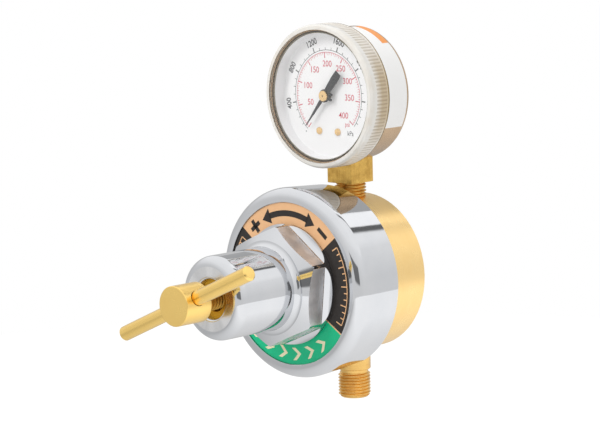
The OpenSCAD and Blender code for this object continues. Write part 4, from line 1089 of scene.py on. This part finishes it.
def make_lens():
    """Push-on clear lens that rests on the case's rim: flat window, bevel, and a skirt with 120 ribs."""
    rib_drops = (0.0, 0.05, 0.28, 0.35, 0.28, 0.05)
    rib_back = LENS_BACK + 1.6
    rib_front = rib_back + 6.4
    lead = 0.15
    band = LENS_R - 0.1
    skirt_in = CASE_R + 0.05
    window_r = LENS_R - 2.4
    section = rounded([
        (skirt_in, LENS_BACK), (band, LENS_BACK, 0.25), (band, rib_back - lead), (LENS_R, rib_back),
        (LENS_R, rib_front), (band, rib_front + lead), (band, LENS_FRONT - 1.2, 0.3),
        (LENS_R - 0.9, LENS_FRONT, 0.4), (window_r, LENS_FRONT), (0, LENS_FRONT), (0, CASE_RIM),
        (skirt_in, CASE_RIM, 0.1)], 3)
    steps = LENS_RIBS * len(rib_drops)
    bm = lathe(section, steps=steps)
    for v in bm.verts:
        radius = hypot(v.co.x, v.co.y)
        if radius > (LENS_R - 0.01) * MM:
            step = round(atan2(v.co.y, v.co.x) / (2 * pi) * steps) % len(rib_drops)
            share = 1 - rib_drops[step] * MM / radius
            v.co.x *= share
            v.co.y *= share
    for face in bm.faces:
        middle = face.calc_center_median()
        face.material_index = int(hypot(middle.x, middle.y) > (window_r + 0.3) * MM)
    show(bm, "lens", ("lens", "skirt"), ["gauge_lens"], place="gauge", smooth=35, weigh=False)


SCALE_ZERO = 230.0
SCALE_SWEEP = 270.0
FULL_PSI = 400
KPA_PER_PSI = 6.894757
INK = 0.02


def scale_turn(psi):
    """The angle of a pressure on the dial, in degrees."""
    return SCALE_ZERO - SCALE_SWEEP * psi / FULL_PSI


def tick(bm, turn, r_from, r_to, width):
    """A printed mark along a radius of the dial."""
    half = width / 2
    corners = ((r_from, -half), (r_to, -half), (r_to, half), (r_from, half))
    plate([ring_spot(radius, turn, along) for radius, along in corners], DIAL_TOP, DIAL_TOP + INK, bm)


def scale_line(bm, radius):
    """The printed line that a scale's ticks stand on."""
    half = 0.11
    sector(radius - half, radius + half, DIAL_TOP, DIAL_TOP + INK, scale_turn(FULL_PSI), SCALE_ZERO, bm=bm)


def dial_pan():
    """The pressed white pan with its turned-up wall, with a dark band along the top of the wall."""
    fold = 1.2
    fold_r, fold_s = DIAL_R - fold, DIAL_BACK + fold
    inner_r = DIAL_R - DIAL_SHEET
    straight, dark_band_from = DIAL_WALL_TOP - 0.5, DIAL_WALL_TOP - 0.4
    hole_r, edge = 2, 0.15
    disc = [(hole_r, DIAL_BACK)] + arc(fold_r, fold_s, fold, -90, 0, 6)
    disc += rounded([(DIAL_R, straight), (DIAL_R, DIAL_WALL_TOP, edge), (inner_r, DIAL_WALL_TOP, edge),
                     (inner_r, straight)], 3)
    disc += [(inner_r, dark_band_from)]
    disc += arc(fold_r, fold_s, fold - DIAL_SHEET, 0, -90, 6) + [(hole_r, DIAL_TOP)]
    pan = lathe(disc)
    for face in pan.faces:
        face.material_index = int(face.calc_center_median().z > dark_band_from * MM)
    return pan


def print_psi():
    """The red inner scale: its line, a tick each 5 psi and its numbers, set one by one inside the ticks."""
    line_r = 19.2
    major, middle, minor = (16.6, 0.42), (17.9, 0.2), (18.3, 0.2)
    red = bmesh.new()
    scale_line(red, line_r)
    for psi in range(0, FULL_PSI + 1, 5):
        inner, width = major if psi % 50 == 0 else middle if psi % 10 == 0 else minor
        tick(red, scale_turn(psi), inner, line_r, width)
    numbers = {50: (-10.8, -3.5), 100: (-12.3, 3.9), 150: (-7.9, 11.1), 200: (-0.1, 14.0), 250: (8.0, 12.1),
               300: (11.9, 6.7), 350: (12.9, -0.6), 400: (9.2, -8.6)}
    for psi, (x, y) in numbers.items():
        join(red, words(str(psi), 3.9, x, y, narrow=0.97, bold=0.02))
    join(red, words("psi", 3.0, 11.4, -12.4, bold=0.01))
    show(red, "dial_print_red", "red_ink", place="gauge", weigh=False)


def print_kpa():
    """The black outer scale: its line, a tick each 100 kPa, its numbers and the dot at zero."""
    line_r = 20.2
    major, minor = (22.4, 0.5), (21.4, 0.24)
    number_r, number_size = 24.7, 4.0
    dot_r, dot_at = 0.3, 21.8
    full_kpa = int(FULL_PSI * KPA_PER_PSI)
    black = bmesh.new()
    scale_line(black, line_r)
    for kpa in range(100, full_kpa + 1, 100):
        outer, width = major if kpa % 400 == 0 else minor
        tick(black, scale_turn(kpa / KPA_PER_PSI), line_r, outer, width)
    join(black, words("kPa", 3.0, 13.1, -16.4, bold=0.01))
    for kpa in range(400, 2401, 400):
        turn = scale_turn(kpa / KPA_PER_PSI)
        join(black, words(str(kpa), number_size, *ring_spot(number_r, turn), turn - 90))
    dot = sector(0.001, dot_r, DIAL_TOP, DIAL_TOP + INK, 0, 360, 30)
    bmesh.ops.translate(dot, verts=dot.verts, vec=Vector((*ring_spot(dot_at, SCALE_ZERO), 0)) * MM)
    join(black, dot)
    show(black, "dial_print_black", "black_ink", place="gauge", weigh=False)


def make_dial():
    """White pan dial with a red psi scale inside and a black kPa scale outside, printed a hair thick."""
    show(dial_pan(), "dial_face", ("dial", "pan_edge"), ["dial"], place="gauge")
    print_psi()
    print_kpa()
    head_r, shank_r = 1.6, 0.6
    face, shank_end = DIAL_TOP + 0.8, DIAL_TOP - 4
    head = rounded([(0, shank_end), (shank_r, shank_end), (shank_r, DIAL_TOP), (head_r, DIAL_TOP),
                    (head_r, face, 0.35), (0, face)], 3)
    show(screw_pair(head, DIAL_SCREW_X, DIAL_SCREW_DROP, (face, face - 0.35, 0.22)), "dial_screw_pair",
         "hub", ["dial_screws"], place="gauge")


def make_pointer():
    """Black pointer on the zero mark, with its round boss and two lugs, and the brass hub over it."""
    one_side = [(17.6, 0.12), (2.0, 0.95), (2.0, 1.25), (-9.5, 1.95), (-13.4, 1.75)]
    outline = [(18.1, 0)] + one_side + [(x, -y) for x, y in reversed(one_side)]
    bm = plate([ring_spot(x, SCALE_ZERO, y) for x, y in outline], POINTER_BACK, POINTER_TOP)
    hole_r, boss_r, proud = 1.3, 2.9, 0.02
    lathe(rounded([(hole_r, POINTER_BACK - 0.01), (boss_r, POINTER_BACK - 0.01),
                   (boss_r, POINTER_TOP + proud, 0.1), (hole_r, POINTER_TOP + proud)], 2), steps=48, bm=bm)
    lug = [(2.4, -0.6), (4.3, -0.6), (4.9, -0.2), (4.9, 0.2), (4.3, 0.6), (2.4, 0.6)]
    for turn in (-24, 8):
        plate([ring_spot(x, turn, y) for x, y in lug], POINTER_BACK, POINTER_TOP, bm)
    show(bm, "needle", "pointer", ["pointer"], place="gauge", weigh=False, body="pointer")
    hub_foot, arbor_r, neck_r, hub_r = POINTER_BACK - 1.4, 0.62, 1.25, 2.4
    hub = rounded([(arbor_r, hub_foot), (neck_r, hub_foot), (neck_r, POINTER_TOP), (hub_r, POINTER_TOP),
                   (hub_r, HUB_TOP, 0.3), (0.36, HUB_TOP), (0.3, HUB_TOP - 0.3),
                   (arbor_r, HUB_TOP - 0.4)], 3)
    show(lathe(hub, steps=48), "needle_hub", "hub", ["pointer_hub"], place="gauge",
         body="pointer")


def make_spring(node_name, wire_r, mean_r, turns, sides=16, steps=40):
    """A spring with its true round wire and closed ends; gives the piece, its foot and its length."""
    low, high = box_mm(node_name)
    base, top = -high.y, -low.y
    climb = top - base - 2 * wire_r
    closed = min(2 * wire_r + 0.4, climb / turns)
    spans = ((1, closed), (turns - 2, climb - 2 * closed), (1, closed))
    piece = show(coil(mean_r, wire_r, base, spans, sides, steps), node_name + "_wire", "spring",
                 [node_name], smooth=40, weigh=False)
    return piece, base, top - base


def make_springs():
    """Makes both springs, each with a mesh of its own."""
    big, base, length = make_spring("adjusting_spring", 1.7, 10.0, 6.5)
    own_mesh(big)
    small, base, length = make_spring("valve_spring", 0.4, 4.2, 3.0, 12, 32)
    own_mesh(small)


INNER_FINISHES = {
    "inlet_filter": "filter", "nozzle": "body", "nozzle_gasket": "gasket", "valve_seat": "seat",
    "valve_poppet": "body", "diaphragm": "rubber", "diaphragm_stud": "body", "diaphragm_plate": "aluminium",
    "diaphragm_nut": "zinc", "slip_ring": "zinc", "spring_button": "zinc", "pinion": "movement",
    "sector_gear": "movement", "link": "movement", "hairspring": "spring", "bourdon_tube": "tube",
    "tube_tip": "movement", "movement_back_plate": "movement", "movement_front_plate": "movement",
    "movement_pillars": "movement", "movement_screws": "zinc"}


def finish_inner_pieces():
    """Gives the closed-in nodes, which keep their own shape, their finishes."""
    for name, key in INNER_FINISHES.items():
        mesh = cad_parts[name].data
        mesh.materials.clear()
        mesh.materials.append(FINISHES[key])


# ---------------------------------------------------------------- studio

CAMERA_AT = (0.72174, -0.80650, 0.17461)
CAMERA_AZIMUTH, CAMERA_ELEVATION, CAMERA_ROLL = 43.39, 7.878, -1.335
CAMERA_LENS = 147.48
ROOM_LIGHT = 1.17


def set_camera():
    """A long lens from the right front, a little above the piece and a little tilted."""
    camera = add("camera", bpy.data.cameras.new("camera"))
    camera.data.lens = CAMERA_LENS
    camera.data.sensor_width = 36
    camera.data.clip_start = 0.01
    camera.matrix_world = (Matrix.Translation(CAMERA_AT) @ Matrix.Rotation(radians(CAMERA_AZIMUTH), 4, "Z")
                           @ Matrix.Rotation(radians(90 - CAMERA_ELEVATION), 4, "X")
                           @ Matrix.Rotation(radians(CAMERA_ROLL), 4, "Z"))
    bpy.context.scene.camera = camera


def light_world():
    """A white studio: pale walls that brighten upwards, a strip light overhead, a dark doorway in front."""
    world = bpy.data.worlds.new("studio")
    bpy.context.scene.world = world
    world.use_nodes = True
    tree = world.node_tree
    way = parts(tree, node(tree, "TexCoord").outputs["Generated"])
    up, across, along = way["Z"], way["X"], way["Y"]
    walls = ramp(tree, up, (
        (0.0, 0.73), (0.10, 0.76), (0.32, 0.83), (0.51, 0.90), (0.60, 0.96), (0.80, 0.98)))
    ceiling = ramp(tree, plus(tree, 0.5, across, 0.5), (
        (0.47, 0.98), (0.50, 1.12), (0.60, 1.10), (0.605, 0.14), (0.635, 0.14), (0.65, 0.96)))
    overhead = times(tree, spread(tree, up, 0, 1, 0.38, 0.47), spread(tree, along, 0, 1, 0.05, 0.35))
    front = spread(tree, along, 0.96, 1, -0.5, 0)
    beside = times(tree, between(tree, across, -1, -0.62, 0.12), between(tree, up, -1, 0.22, 0.2),
                   spread(tree, along, 0.05, 0.75, -0.9, 0.3))
    doorway = times(tree, between(tree, across, 0.15, 0.76, 0.05), between(tree, up, -0.04, 0.22, 0.04),
                    maths(tree, "LESS_THAN", along, 0.0))
    level = times(tree, front, plus(tree, 1.0, beside, -0.4), plus(tree, 1.0, doorway, -0.75), ROOM_LIGHT)
    room = node(tree, "VectorMath", {0: blend_colours(tree, overhead, walls, ceiling), "Scale": level},
                operation="SCALE").outputs[0]
    path = node(tree, "LightPath").outputs
    plain = maths(tree, "MAXIMUM", path["Is Camera Ray"], path["Is Transmission Ray"])
    background = tree.nodes["Background"].inputs
    tree.links.new(blend_colours(tree, plain, room, (1, 1, 1)), background["Color"])
    background["Strength"].default_value = 1.0


def add_lamp():
    """A broad key from the upper left front, for the label, the dial and the lacquer."""
    lamp = bpy.data.lights.new("key", "AREA")
    lamp.shape = "DISK"
    lamp.size = 0.8
    lamp.energy = 9.0
    stand, aim = Vector((-0.35, -1.3, 1.0)), Vector((0, -0.03, 0.03))
    holder = add("key", lamp)
    holder.location = stand
    holder.rotation_euler = (stand - aim).to_track_quat("Z", "Y").to_euler()
    holder.visible_glossy = False
    holder.visible_transmission = False
    holder.visible_camera = False


def add_sheet(name, bm, material):
    """A sheet of the studio, which belongs to the set and not to the model."""
    mesh = baked(bm, name)
    mesh.materials.append(material)
    sheet = add(name, mesh)
    return sheet


def lay_floor():
    """A white round table under the object, that keeps the object's soft shadow."""
    floor_y, floor_z, floor_r = -0.03, -0.100, 0.46
    material, tree, shader = finish("table_white", (0.86, 0.86, 0.86), 0.0, 0.9)
    path = node(tree, "LightPath").outputs
    across = parts(tree, node(tree, "TexCoord").outputs["Object"])["X"]
    fading = spread(tree, across, 0.48, 1.24, -0.12, 0.10)
    strength = node(tree, "Mix", {0: path["Is Glossy Ray"], 2: 1.08, 3: fading},
                    data_type="FLOAT").outputs[0]
    glow = node(tree, "Emission", {"Color": (1, 1, 1, 1), "Strength": strength})
    seen = maths(tree, "MAXIMUM", path["Is Camera Ray"],
                 maths(tree, "MAXIMUM", path["Is Glossy Ray"], path["Is Transmission Ray"]))
    share = times(tree, seen, 0.8)
    surface(tree, node(tree, "MixShader", {0: share, 1: shader.outputs[0], 2: glow.outputs[0]}))
    bm = bmesh.new()
    bmesh.ops.create_circle(bm, cap_ends=True, segments=96, radius=floor_r)
    bmesh.ops.translate(bm, verts=bm.verts, vec=(0, floor_y, floor_z))
    add_sheet("table", bm, material)


def hang_flag():
    """A grey flag over the back of the set, which only reflections see."""
    level, left, right, near, far = 0.200, -0.40, 0.017, 0.126, 0.60
    material = bpy.data.materials.new("flag_grey")
    material.use_nodes = True
    tree = material.node_tree
    tree.nodes.remove(tree.nodes["Principled BSDF"])
    glow = node(tree, "Emission", {"Color": (0.5, 0.5, 0.5, 1), "Strength": 1.0})
    surface(tree, glow)
    bm = bmesh.new()
    bmesh.ops.create_grid(bm, x_segments=1, y_segments=1, size=0.5)
    bmesh.ops.scale(bm, verts=bm.verts, vec=(right - left, far - near, 1))
    bmesh.ops.translate(bm, verts=bm.verts, vec=((left + right) / 2, (near + far) / 2, level))
    flag = add_sheet("flag", bm, material)
    flag.visible_camera = False
    flag.visible_diffuse = False
    flag.visible_transmission = False
    flag.visible_shadow = False


# ---------------------------------------------------------------- making

for step in (set_camera, light_world, add_lamp, lay_floor, hang_flag, make_body, make_bonnet, make_label,
             make_adjusting_screw, make_bushing, make_outlet, make_socket, make_case, make_sticker, make_lens,
             make_dial, make_pointer, make_springs, finish_inner_pieces):
    step()

bpy.context.scene.view_settings.view_transform = "Standard"
